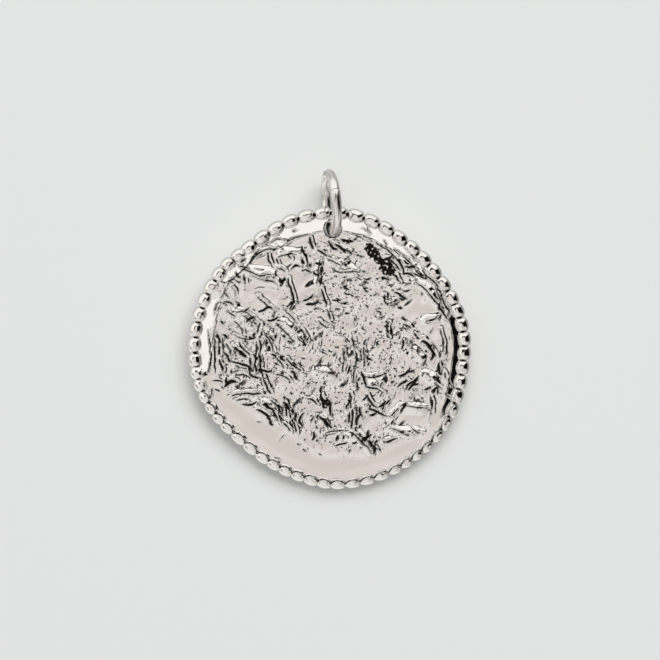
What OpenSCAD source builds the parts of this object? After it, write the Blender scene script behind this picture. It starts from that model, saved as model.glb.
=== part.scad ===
// Medallion pendant: a cast disc with folded relief and a beaded edge, hung
// from a round jump ring. It lies on its back, propped up by the ring.

/* [Disc] */
// Width of the disc over its beads
disc_w = 25; // [23:0.5:27]
// Thickness of the field, from the flat back to the plain ground of the face
disc_t = 1.2; // [1.1:0.05:1.6]
// Height of the folds, 1 as cast and 0 for a plain field
fold_gain = 1; // [0:0.1:1.4]
// Steepness of the smooth slope that falls to the beads, 1 as cast and 0 for none
slope_gain = 1; // [0:0.1:1.2]

/* [Beaded edge] */
// Direction of the first bead, in degrees from +X
bead_start = 4.3; // [0:0.1:6]
// Share of its place along the edge that a bead fills
bead_fill = 0.955; // [0.85:0.005:0.97]
// Largest radius of a bead
bead_max_r = 0.66; // [0.6:0.01:0.7]
// Height of the bead centres above the back
bead_z = 0.7; // [0.68:0.01:0.8]

/* [Hole] */
// Diameter of the hole for the jump ring
hole_d = 1.55; // [1.55:0.05:1.8]
// Distance of the middle of the hole from the outer edge next to it
hole_in = 2; // [1.95:0.05:2.2]
// Sideways place of the hole
hole_x = 0.15; // [0:0.05:0.3]

/* [Jump ring] */
// Outside diameter of the jump ring
ring_d = 6; // [5.8:0.1:6.4]
// Thickness of its wire
wire_d = 0.9; // [0.8:0.05:0.95]
// Lean of the ring to +X, away from square to the disc
ring_lean = 10; // [4:1:12]
// Turn of the ring seen from the front, its outer end to -X
ring_turn = 4; // [0:1:6]
// Direction of the butt joint on the ring, from the outer end upwards
seam_at = 64; // [20:1:120]
// Opening of that joint
seam_gap = 0.06; // [0.04:0.01:0.2]

/* [Hidden] */

// Outer edge of the disc, uneven as a hand finish leaves it:
// [direction in degrees, reach beyond half of disc_w]
EDGE = [
    [5, -0.05], [20, -0.25], [35, -0.48], [55, -0.42], [68, -0.12], [85, 0.16],
    [105, 0], [128, -0.35], [145, 0], [178, 0.2], [195, 0.13], [210, -0.22],
    [225, -0.6], [240, -0.55], [256, -0.3], [270, 0.05], [300, 0.1],
    [330, 0.15], [352, -0.1]
];

// Inner limit of the smooth border, on a disc 25 wide:
// [direction in degrees, radius]
BORDER = [
    [5, 10.7], [25, 10.9], [38, 10.7], [50, 10.6], [68, 10.4], [88, 10.3],
    [105, 10.3], [120, 10.7], [135, 11.3], [150, 11.3], [165, 10.6], [188, 10.6],
    [203, 10.2], [215, 9.2], [230, 8.7], [248, 8.6], [262, 9.5], [280, 9.7],
    [292, 10.4], [305, 10.4], [318, 11.1], [332, 10.6], [350, 10.7]
];

// The border falls to the beads in a slope, or rises to them a little where the steepness
// is negative, on a disc 25 wide: [direction in degrees, width, steepness in degrees]
SLOPE = [
    [0, 0.75, 20], [12, 0.75, 20], [20, 0.5, 12], [32, 0.5, 9], [40, 0.7, 19],
    [56, 0.9, 20], [72, 1.5, 20], [95, 1.5, 20], [112, 1.6, 20], [126, 1.2, 19],
    [131, 0.5, 4], [137, 1.0, 21], [145, 1.0, 21], [150, 0.5, 6], [158, 1.2, 20],
    [172, 1.45, 20], [186, 1.3, 20], [193, 0.6, 3], [215, 0.8, -4], [250, 0.9, -4],
    [285, 0.8, -4], [315, 0.5, -2], [330, 0.5, 10], [342, 0.7, 20]
];

// Beads follow each other in runs of like pitch: [beads, degrees for each]
BEAD_RUNS = [
    [3, 6.25], [15, 7.07], [3, 5.85], [6, 6.4], [6, 5.45], [3, 6.85],
    [6, 5.85], [4, 6.3], [3, 5.45], [8, 6.25]
];

// Main folds of the field, on a disc 25 wide, each along a bowed line:
// [x1, y1, x2, y2, bow to the left of the way, half width, height]
FOLDS = [
    [-7.6, 8.0, -4.6, 9.4, 0.3, 0.8, 0.21],
    [-8.2, 7.4, -5.0, 6.6, -0.2, 0.7, 0.26],
    [-7.0, 6.7, -4.6, 5.9, -0.1, 0.5, 0.16],
    [-4.6, 8.4, -2.4, 8.8, 0.1, 0.5, 0.16],
    [-1.9, 10.0, -1.6, 8.2, -0.2, 0.5, -0.16],
    [-3.8, 6.6, -3.3, 4.0, 0.2, 0.45, -0.26],
    [-6.3, 4.9, -4.4, 3.4, -0.2, 0.6, 0.12],
    [-8.6, 3.9, -6.6, 2.0, -0.3, 0.7, 0.23],
    [-6.0, 2.6, -4.8, -0.6, -0.1, 0.5, -0.21],
    [-4.6, 2.7, -2.4, 0.2, 0.2, 0.6, 0.21],
    [-9.8, 2.6, -9.9, -1.6, 0.1, 0.45, -0.18],
    [-8.4, 0.6, -7.2, -1.0, 0.1, 0.6, -0.16],
    [-9.1, -1.0, -6.8, -1.9, 0.1, 0.5, -0.23],
    [-6.2, -0.6, -5.4, -3.9, -0.3, 0.5, -0.26],
    [-9.0, -3.1, -7.8, -2.9, 0.2, 0.5, -0.21],
    [-9.2, -4.1, -6.0, -4.1, 0.3, 0.6, 0.07],
    [-6.6, -4.6, -4.4, -6.8, 0.3, 0.7, 0.23],
    [-3.9, -4.6, -3.1, -7.4, 0.2, 0.5, -0.18],
    [-1.0, 7.8, -1.3, 5.8, 0, 0.5, 0.16],
    [-0.9, 5.4, -0.1, 2.8, 0.1, 0.5, -0.18],
    [0.4, 9.5, 1.6, 8.4, 0, 0.5, -0.16],
    [-0.6, 8.2, 2.0, 6.8, 0.2, 0.6, 0.16],
    [3.4, 9.0, 5.2, 6.8, -0.2, 0.8, -0.21],
    [4.6, 9.4, 7.0, 6.8, 0.4, 0.6, 0.23],
    [7.2, 6.4, 9.6, 3.8, 0.3, 0.6, 0.21],
    [4.6, 6.6, 6.2, 5.6, 0.2, 0.6, -0.13],
    [7.9, 2.6, 9.6, 3.0, -0.1, 0.5, 0.16],
    [1.9, 1.4, 2.1, -3.0, 0.2, 0.45, -0.23],
    [2.9, 0.4, 3.0, -2.2, 0.2, 0.45, -0.18],
    [3.0, -3.0, 4.9, -2.4, -0.3, 0.6, 0.21],
    [6.2, 0.8, 8.2, -1.0, 0, 0.7, 0.18],
    [8.2, 0.8, 9.6, -1.0, 0.2, 0.6, -0.18],
    [7.8, -2.2, 9.4, -2.8, 0.1, 0.6, 0.21],
    [0.4, -2.6, -1.6, -1.6, 0.2, 0.6, 0.16],
    [-0.8, -3.8, -0.6, -5.6, 0, 0.45, -0.23],
    [1.9, -4.2, 1.8, -7.2, 0.1, 0.5, -0.23],
    [3.4, -4.8, 5.0, -6.2, 0.2, 0.6, -0.18],
    [4.8, -6.4, 8.6, -5.4, 0.5, 0.6, 0.23],
    [8.7, -4.0, 8.8, -6.9, -0.1, 0.45, -0.26],
    [4.6, -6.8, 7.8, -7.3, -0.3, 0.6, 0.21],
    [-0.8, -7.8, 3.6, -9.4, 0.8, 0.6, 0.23]
];

// The tables are drawn for this width
drawn_w = 25;
grow = disc_w / drawn_w;

// The ripple of the ground between the folds: [rise, pitch in x, pitch in y, lead]
RIPPLES = [[0.03, 2.3, 5.1, 20], [0.025, -3.7, 1.9, 75], [0.02, 1.3, -1.6, 140]];

// Rise of the border over the field, and the width over which it rises
border_lip = 0.05;
border_blend = 0.5;
// The slope ends this far inside the outer edge, under the beads, and bends down from
// the flat over this share of its width
slope_end = 1.05;
slope_bend = 0.32;
// Rings of points in the face, and how far the wall stands inside the bead centres
face_rings = 40;
wall_in = 0.12;
// Ease of the edge round the back
back_ease = 0.15;
// A bead is turned in bands of this many degrees, with a small flat on top and below
bead_band = 18;

bead_steps = [for (run = BEAD_RUNS) for (k = [1 : run[0]]) run[1]];
bead_count = len(bead_steps);
wire_r = wire_d / 2;
ring_r = ring_d / 2 - wire_r;

// Sum of the first n values of a list
function sum(list, n) = n == 0 ? 0 : list[n - 1] + sum(list, n - 1);

// Smooth rise from 0 to 1
function ease(t) = let (u = max(0, min(1, t))) u * u * (3 - 2 * u);

// Point at a distance from the middle, in a direction
function polar(r, a) = [r * cos(a), r * sin(a)];

// Smooth curve through four even values, between the second and the third
function through(p, q, r, s, t) =
    q + t * (r - p + t * (2 * p - 5 * q + 4 * r - s + t * (3 * (q - r) + s - p))) / 2;

// Value of a closed table of [direction, value] rows in any direction
function around(rows, a, i = 0) =
    let (n = len(rows), b = a < rows[0][0] ? a + 360 : a,
         last = i == n - 1, from = rows[i][0],
         to = last ? rows[0][0] + 360 : rows[i + 1][0])
    b < to || last
        ? through(rows[(i + n - 1) % n][1], rows[i][1], rows[(i + 1) % n][1],
                  rows[(i + 2) % n][1], (b - from) / (to - from))
        : around(rows, a, i + 1);

// Radius of the outer edge in a direction
function edge_r(a) = disc_w / 2 + grow * around(EDGE, a);

// Direction of a bead, the mean of the steps on its two sides, and its radius
to_full = 360 / sum(bead_steps, bead_count);
function bead_a(i) = bead_start + to_full * sum(bead_steps, i);
function bead_step(i) =
    to_full * (bead_steps[i] + bead_steps[(i + bead_count - 1) % bead_count]) / 2;
function bead_r(i) =
    let (half = bead_step(i) / 2)
    min(bead_max_r, bead_fill * edge_r(bead_a(i) % 360) * sin(half) / (1 + sin(half)));

// The beads: [x, y, radius]
BEADS = [
    for (i = [0 : bead_count - 1])
    let (a = bead_a(i) % 360, r = bead_r(i), p = polar(edge_r(a) - r, a))
    [p[0], p[1], r]
];

// Centre of the ring, seen from the disc. It is level with the face. Its wire passes
// the middle of the hole at these shares of the metal's thickness above the back,
// seen from the side and from the end.
side_cross = 0.13;
end_cross = 0.9;
hole_y = edge_r(90) - hole_in;
ring_z = disc_t + 0.05;
ring_dip = (ring_z - disc_t * side_cross) / cos(ring_lean);
ring_run = sqrt(ring_r * ring_r - ring_dip * ring_dip);
ring_side = (ring_z - disc_t * end_cross) * tan(ring_lean);
ring_x = hole_x - ring_run * sin(ring_turn) + ring_side * cos(ring_turn);
ring_y = hole_y + ring_run * cos(ring_turn) + ring_side * sin(ring_turn);

// Radius of the wall behind the beads
function wall_r(a) = edge_r(a) - bead_max_r - wall_in;

// Height of one fold at a point
function fold(f, p) =
    let (from = [f[0], f[1]] * grow, way = [f[2], f[3]] * grow - from,
         t = max(0, min(1, (p - from) * way / (way * way))),
         left = [-way[1], way[0]] / norm(way),
         near = from + t * way + left * f[4] * 4 * t * (1 - t),
         d = norm(p - near) / f[5])
    d < 1 ? f[6] * pow(1 - d * d, 2) : 0;

// Height of the ripple at a point
function ripple(p) =
    [for (w = RIPPLES) w[0] * sin(w[3] + 360 * (p[0] / w[1] + p[1] / w[2]))]
    * [for (w = RIPPLES) 1];

// Fall of the border's slope at a distance from the middle, in a direction
slope_widths = [for (s = SLOPE) [s[0], s[1]]];
slope_angles = [for (s = SLOPE) [s[0], s[2]]];
function slope_fall(r, a) =
    let (width = max(0.1, grow * around(slope_widths, a)),
         into = max(0, (r - edge_r(a) + slope_end + width) / width),
         bend = into < slope_bend ? into * into / (2 * slope_bend) : into - slope_bend / 2)
    slope_gain * tan(around(slope_angles, a)) * width * bend;

// Height of the face above the back, at a point in a direction
function face_z(p, a) =
    let (r = norm(p), smooth = ease((r - grow * around(BORDER, a)) / border_blend + 0.5),
         heights = [for (f = FOLDS) fold(f, p)],
         relief = fold_gain * (ripple(p) + heights * [for (f = FOLDS) 1]))
    disc_t + relief * (1 - smooth) + border_lip * smooth - slope_fall(r, a);

// Points of one ring of the face: the k-th has six for each ring that it is out
function face_ring(k) = [
    for (j = [0 : 6 * k - 1])
    let (a = 60 * j / k, p = polar(wall_r(a) * k / face_rings, a))
    [p[0], p[1], face_z(p, a)]
];
function ring_start(k) = k == 0 ? 0 : 1 + 3 * k * (k - 1);

// Triangles between ring k and the next, one sixth of the way round at a time
function ring_faces(k) = [
    for (s = [0 : 5]) for (j = [0 : k])
    let (inner = ring_start(k), outer = ring_start(k + 1),
         n_in = max(1, 6 * k), n_out = 6 * (k + 1),
         i0 = inner + (s * k + j) % n_in, i1 = inner + (s * k + j + 1) % n_in,
         o0 = outer + s * (k + 1) + j, o1 = outer + (s * (k + 1) + j + 1) % n_out)
    each j < k ? [[i0, o1, o0], [i0, i1, o1]] : [[i0, o1, o0]]
];

// The cast disc without its beads and its hole
module disc_body() {
    rim = 6 * face_rings;
    rim_a = [for (j = [0 : rim - 1]) 360 * j / rim];
    face = [[0, 0, face_z([0, 0], 0)], for (k = [1 : face_rings]) each face_ring(k)];
    wall = [for (a = rim_a) let (p = polar(wall_r(a), a)) [p[0], p[1], back_ease]];
    back = [for (a = rim_a) let (p = polar(wall_r(a) - back_ease, a)) [p[0], p[1], 0]];
    top0 = ring_start(face_rings);
    wall0 = len(face);
    back0 = wall0 + rim;
    polyhedron(
        points = concat(face, wall, back),
        faces = [
            for (k = [0 : face_rings - 1]) each ring_faces(k),
            for (j = [0 : rim - 1]) let (n = (j + 1) % rim)
                each [[top0 + j, top0 + n, wall0 + n, wall0 + j],
                      [wall0 + j, wall0 + n, back0 + n, back0 + j]],
            [for (j = [0 : rim - 1]) back0 + j]
        ]);
}

// Pose of rest: the ring's lowest point and the disc's lower edge touch the ground
low_y = wall_r(270) - back_ease;
ring_drop = ring_r * cos(ring_lean) + wire_r;
prop = norm([ring_y + low_y, ring_z]);
rest_tilt = asin(ring_drop / prop) - atan2(ring_z, ring_y + low_y);

// Middle of the ground that the pendant covers once it is propped up
mid_x = (max([for (b = BEADS) b[0] + b[2]]) + min([for (b = BEADS) b[0] - b[2]])) / 2;
far_y = ring_y * cos(rest_tilt) - ring_z * sin(rest_tilt) + ring_r * cos(ring_turn) + wire_r;
near_y = min([for (b = BEADS) b[1] * cos(rest_tilt) - bead_z * sin(rest_tilt) - b[2]]);
mid_y = (far_y + near_y) / 2;

module rest() {
    translate([-mid_x, -mid_y, low_y * sin(rest_tilt)]) rotate([rest_tilt, 0, 0]) children();
}

// One round bead, turned about an upright axis
module bead(r) {
    last = 90 - bead_band / 2;
    side = [for (t = [-last : bead_band : last]) polar(r, t)];
    rotate_extrude($fn = 32) polygon(concat([[0, side[0][1]]], side, [[0, -side[0][1]]]));
}

// Disc and beads, one casting, drilled for the jump ring
module medallion() {
    color("#cfc9c5") rest() difference() {
        union() {
            disc_body();
            for (b = BEADS)
                translate([b[0], b[1], bead_z]) rotate([0, 0, atan2(-b[1], -b[0])]) bead(b[2]);
        }
        translate([hole_x, hole_y, -1]) cylinder(d = hole_d, h = disc_t + 3, $fn = 48);
    }
}

// Round wire bent to a ring, its ends butted
module jump_ring() {
    opening = seam_gap / ring_r * 180 / PI;
    color("#c9c4c0") rest()
        translate([ring_x, ring_y, ring_z])
        rotate([0, 0, ring_turn])
        rotate([0, ring_lean, 0])
        rotate([0, 0, 90])
        rotate([90, 0, 0])
        rotate([0, 0, seam_at + opening / 2])
        rotate_extrude(angle = 360 - opening, $fn = 96)
        translate([ring_r, 0]) circle(r = wire_r, $fn = 32);
}

medallion();
jump_ring();
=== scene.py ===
"""Medallion pendant: cast disc with folded relief and beaded edge, and its jump ring."""

import math
import random

import bmesh
import bpy
import numpy as np
from bpy.props import FloatProperty, FloatVectorProperty, IntProperty, PointerProperty
from mathutils import Matrix, Vector


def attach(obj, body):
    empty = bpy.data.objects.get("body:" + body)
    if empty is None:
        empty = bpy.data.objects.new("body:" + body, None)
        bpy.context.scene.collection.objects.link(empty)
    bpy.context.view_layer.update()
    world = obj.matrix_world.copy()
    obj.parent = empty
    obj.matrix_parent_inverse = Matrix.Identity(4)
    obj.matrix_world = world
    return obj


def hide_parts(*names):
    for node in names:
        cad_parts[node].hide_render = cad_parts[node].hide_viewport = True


bl_info = {
    "name": "Medallion Pendant",
    "version": (1, 0, 0),
    "blender": (4, 5, 0),
    "location": "View3D > Sidebar > Pendant",
    "description": "Dresses a cast medallion pendant and its jump ring",
    "category": "Object",
}

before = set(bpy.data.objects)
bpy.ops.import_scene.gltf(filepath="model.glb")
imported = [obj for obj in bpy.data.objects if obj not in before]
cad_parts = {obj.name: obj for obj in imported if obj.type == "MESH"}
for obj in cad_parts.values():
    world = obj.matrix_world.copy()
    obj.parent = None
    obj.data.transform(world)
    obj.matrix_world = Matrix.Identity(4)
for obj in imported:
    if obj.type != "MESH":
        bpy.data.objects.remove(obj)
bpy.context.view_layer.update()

MM = 0.001  # the tables and the shapes below are in millimetres
DRAWN_W = 25  # width of the disc for which the tables are written

# Outer edge of the disc: (direction in degrees, reach beyond half of the disc's width)
EDGE = (
    (5, -0.05), (20, -0.25), (35, -0.48), (55, -0.42), (68, -0.12), (85, 0.16),
    (105, 0), (128, -0.35), (145, 0), (178, 0.2), (195, 0.13), (210, -0.22),
    (225, -0.6), (240, -0.55), (256, -0.3), (270, 0.05), (300, 0.1),
    (330, 0.15), (352, -0.1),
)

# Inner limit of the smooth border: (direction in degrees, radius)
BORDER = (
    (5, 10.7), (25, 10.9), (38, 10.7), (50, 10.6), (68, 10.4), (88, 10.3),
    (105, 10.3), (120, 10.7), (135, 11.3), (150, 11.3), (165, 10.6), (188, 10.6),
    (203, 10.2), (215, 9.2), (230, 8.7), (248, 8.6), (262, 9.5), (280, 9.7),
    (292, 10.4), (305, 10.4), (318, 11.1), (332, 10.6), (350, 10.7),
)

# The border falls to the beads in a slope: (direction, width, steepness in degrees)
BAND = (
    (0, 0.75, 20), (12, 0.75, 20), (20, 0.5, 12), (32, 0.5, 9), (40, 0.7, 19),
    (56, 0.9, 20), (72, 1.5, 20), (95, 1.5, 20), (112, 1.6, 20), (126, 1.2, 19),
    (131, 0.8, 14), (137, 1.0, 21), (145, 1.0, 21), (150, 0.5, 6), (158, 1.2, 20),
    (172, 1.45, 20), (186, 1.3, 20), (193, 0.6, 3), (215, 0.8, -4), (250, 0.9, -4),
    (285, 0.8, -4), (315, 0.5, -2), (330, 0.5, 10), (342, 0.7, 20),
)
# Share of the slope's width over which it bends down from the flat
BAND_BEND = 0.32

# Marks that run out over the border: (x1, y1, x2, y2, bow, half width, depth)
BORDER_MARKS = (
    (-10.9, 1.6, -10.65, -0.7, 0.05, 0.13, 0.05), (-10.65, -0.7, -10.95, -2.1, 0.05, 0.13, 0.05),
    (-9.9, 4.1, -10.35, 3.0, -0.05, 0.12, 0.06),
    (-7.1, 7.9, -6.3, 8.7, 0.1, 0.13, 0.06), (-5.6, 9.3, -4.0, 9.7, 0.1, 0.11, 0.05),
    (-8.1, 7.3, -7.2, 7.1, 0.05, 0.15, 0.07), (-8.4, 6.9, -8.0, 6.3, -0.05, 0.15, 0.07),
    (-7.9, 7.6, -7.5, 8.2, 0.05, 0.12, 0.05), (-9.2, 5.6, -8.7, 6.3, 0.1, 0.14, 0.06),
    (-9.6, 4.9, -9.1, 4.5, 0.05, 0.12, 0.05), (-9.4, 5.5, -9.8, 4.6, 0.1, 0.1, 0.04),
    (-3.4, 10.5, -3.1, 10.5, 0, 0.1, 0.03), (4.7, 9.7, 5.0, 9.3, 0, 0.1, 0.04),
    (5.6, 8.8, 6.6, 8.1, 0.1, 0.1, 0.05), (7.1, 8.3, 7.3, 7.8, 0.05, 0.13, 0.06),
    (7.4, 7.3, 8.6, 6.4, -0.1, 0.11, 0.05), (8.2, 7.1, 9.3, 5.6, -0.1, 0.12, 0.06),
    (9.0, 6.2, 9.9, 4.7, -0.1, 0.13, 0.07),
    (9.6, 5.0, 10.2, 3.6, 0.05, 0.12, 0.06), (10.2, 3.9, 10.4, 3.2, 0.05, 0.16, 0.07),
    (10.4, -2.6, 10.8, -3.4, 0, 0.16, 0.07), (10.1, -4.0, 10.7, -4.4, 0, 0.13, 0.05),
    (2.6, 10.7, 3.2, 10.3, 0.1, 0.08, 0.03), (3.2, 10.9, 3.5, 10.2, -0.1, 0.08, 0.03),
    (-10.5, -2.7, -9.5, -2.9, 0.1, 0.12, 0.05), (-10.3, -3.5, -9.9, -3.8, 0.05, 0.16, 0.06),
    (-10.7, -3.4, -10.5, -4.2, 0.05, 0.1, 0.04), (-5.5, -6.5, -5.2, -6.8, 0, 0.18, 0.05),
    (-4.7, -8.2, -4.1, -7.7, 0.1, 0.08, 0.03), (-2.9, -8.4, -2.7, -8.6, 0, 0.12, 0.04),
    (-2.4, -9.0, -2.2, -9.3, 0, 0.1, 0.04), (-5.1, -9.7, -4.6, -9.9, 0.05, 0.1, 0.03),
    (-6.6, -6.4, -6.4, -6.5, 0, 0.1, 0.03), (-1.1, -9.3, -0.9, -9.4, 0, 0.1, 0.03),
)

# The border's plain falls outwards a little: (direction, fall for each millimetre)
BORDER_FALL = ((0, 0), (180, 0), (203, 0.05), (300, 0.05), (325, 0), (345, 0))

# Beads follow each other in runs of like pitch: (beads, degrees for each)
BEAD_RUNS = (
    (3, 6.25), (15, 7.07), (3, 5.85), (6, 6.4), (6, 5.45), (3, 6.85),
    (6, 5.85), (4, 6.3), (3, 5.45), (8, 6.25),
)

# Main folds of the field, each along a bowed line:
# (x1, y1, x2, y2, bow to the left of the way, half width, height)
FOLDS = (
    (-7.6, 8.0, -4.6, 9.4, 0.3, 0.8, 0.3),
    (-8.2, 7.4, -5.0, 6.6, -0.2, 0.7, 0.3),
    (-7.0, 6.7, -4.6, 5.9, -0.1, 0.5, 0.16),
    (-4.6, 8.4, -2.4, 8.8, 0.1, 0.5, 0.16),
    (-1.9, 10.0, -1.6, 8.2, -0.2, 0.5, -0.16),
    (-3.8, 6.6, -3.3, 4.0, 0.2, 0.45, -0.26),
    (-6.3, 4.9, -4.4, 3.4, -0.2, 0.6, 0.03),
    (-8.6, 3.9, -6.6, 2.0, -0.3, 0.7, 0.23),
    (-6.0, 2.6, -4.8, -0.6, -0.1, 0.5, -0.21),
    (-4.6, 2.7, -2.4, 0.2, 0.2, 0.6, 0.21),
    (-9.8, 2.6, -9.9, -1.6, 0.1, 0.45, -0.18),
    (-8.4, 0.6, -7.2, -1.0, 0.1, 0.6, -0.16),
    (-9.1, -1.0, -6.8, -1.9, 0.1, 0.5, -0.23),
    (-6.2, -0.6, -5.4, -3.9, -0.3, 0.5, -0.26),
    (-9.0, -3.1, -7.8, -2.9, 0.2, 0.5, -0.21),
    (-9.2, -4.1, -6.0, -4.1, 0.3, 0.6, 0.07),
    (-6.6, -4.6, -4.4, -6.8, 0.3, 0.7, 0.23),
    (-3.9, -4.6, -3.1, -7.4, 0.2, 0.5, -0.18),
    (-1.0, 7.8, -1.3, 5.8, 0, 0.5, 0.16),
    (-0.9, 5.4, -0.1, 2.8, 0.1, 0.5, -0.18),
    (0.4, 9.5, 1.6, 8.4, 0, 0.5, -0.16),
    (-0.6, 8.2, 2.0, 6.8, 0.2, 0.6, 0.16),
    (3.4, 9.0, 5.2, 6.8, -0.2, 0.8, -0.21),
    (4.6, 9.4, 7.0, 6.8, 0.4, 0.6, 0.23),
    (7.2, 6.4, 9.6, 3.8, 0.3, 0.6, 0.21),
    (4.6, 6.6, 6.2, 5.6, 0.2, 0.6, -0.13),
    (7.9, 2.6, 9.6, 3.0, -0.1, 0.5, 0.16),
    (1.9, 1.4, 2.1, -3.0, 0.2, 0.45, -0.23),
    (2.9, 0.4, 3.0, -2.2, 0.2, 0.45, -0.18),
    (3.0, -3.0, 4.9, -2.4, -0.3, 0.6, 0.21),
    (6.2, 0.8, 8.2, -1.0, 0, 0.7, 0.18),
    (8.2, 0.8, 9.6, -1.0, 0.2, 0.6, -0.18),
    (7.8, -2.2, 9.4, -2.8, 0.1, 0.6, 0.21),
    (0.4, -2.6, -1.6, -1.6, 0.2, 0.6, 0.16),
    (-0.8, -3.8, -0.6, -5.6, 0, 0.45, -0.23),
    (1.9, -4.2, 1.8, -7.2, 0.1, 0.5, -0.23),
    (3.4, -4.8, 5.0, -6.2, 0.2, 0.6, -0.18),
    (4.8, -6.4, 8.6, -5.4, 0.5, 0.6, 0.23),
    (8.7, -4.0, 8.8, -6.9, -0.1, 0.45, -0.26),
    (4.6, -6.8, 7.8, -7.3, -0.3, 0.6, 0.21),
    (-0.8, -7.8, 3.6, -9.4, 0.8, 0.6, 0.23),
)

# Ripple of the ground between the folds: (rise, pitch in x, pitch in y, lead in degrees)
RIPPLES = ((0.03, 2.3, 5.1, 20), (0.025, -3.7, 1.9, 75), (0.02, 1.3, -1.6, 140))

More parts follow.
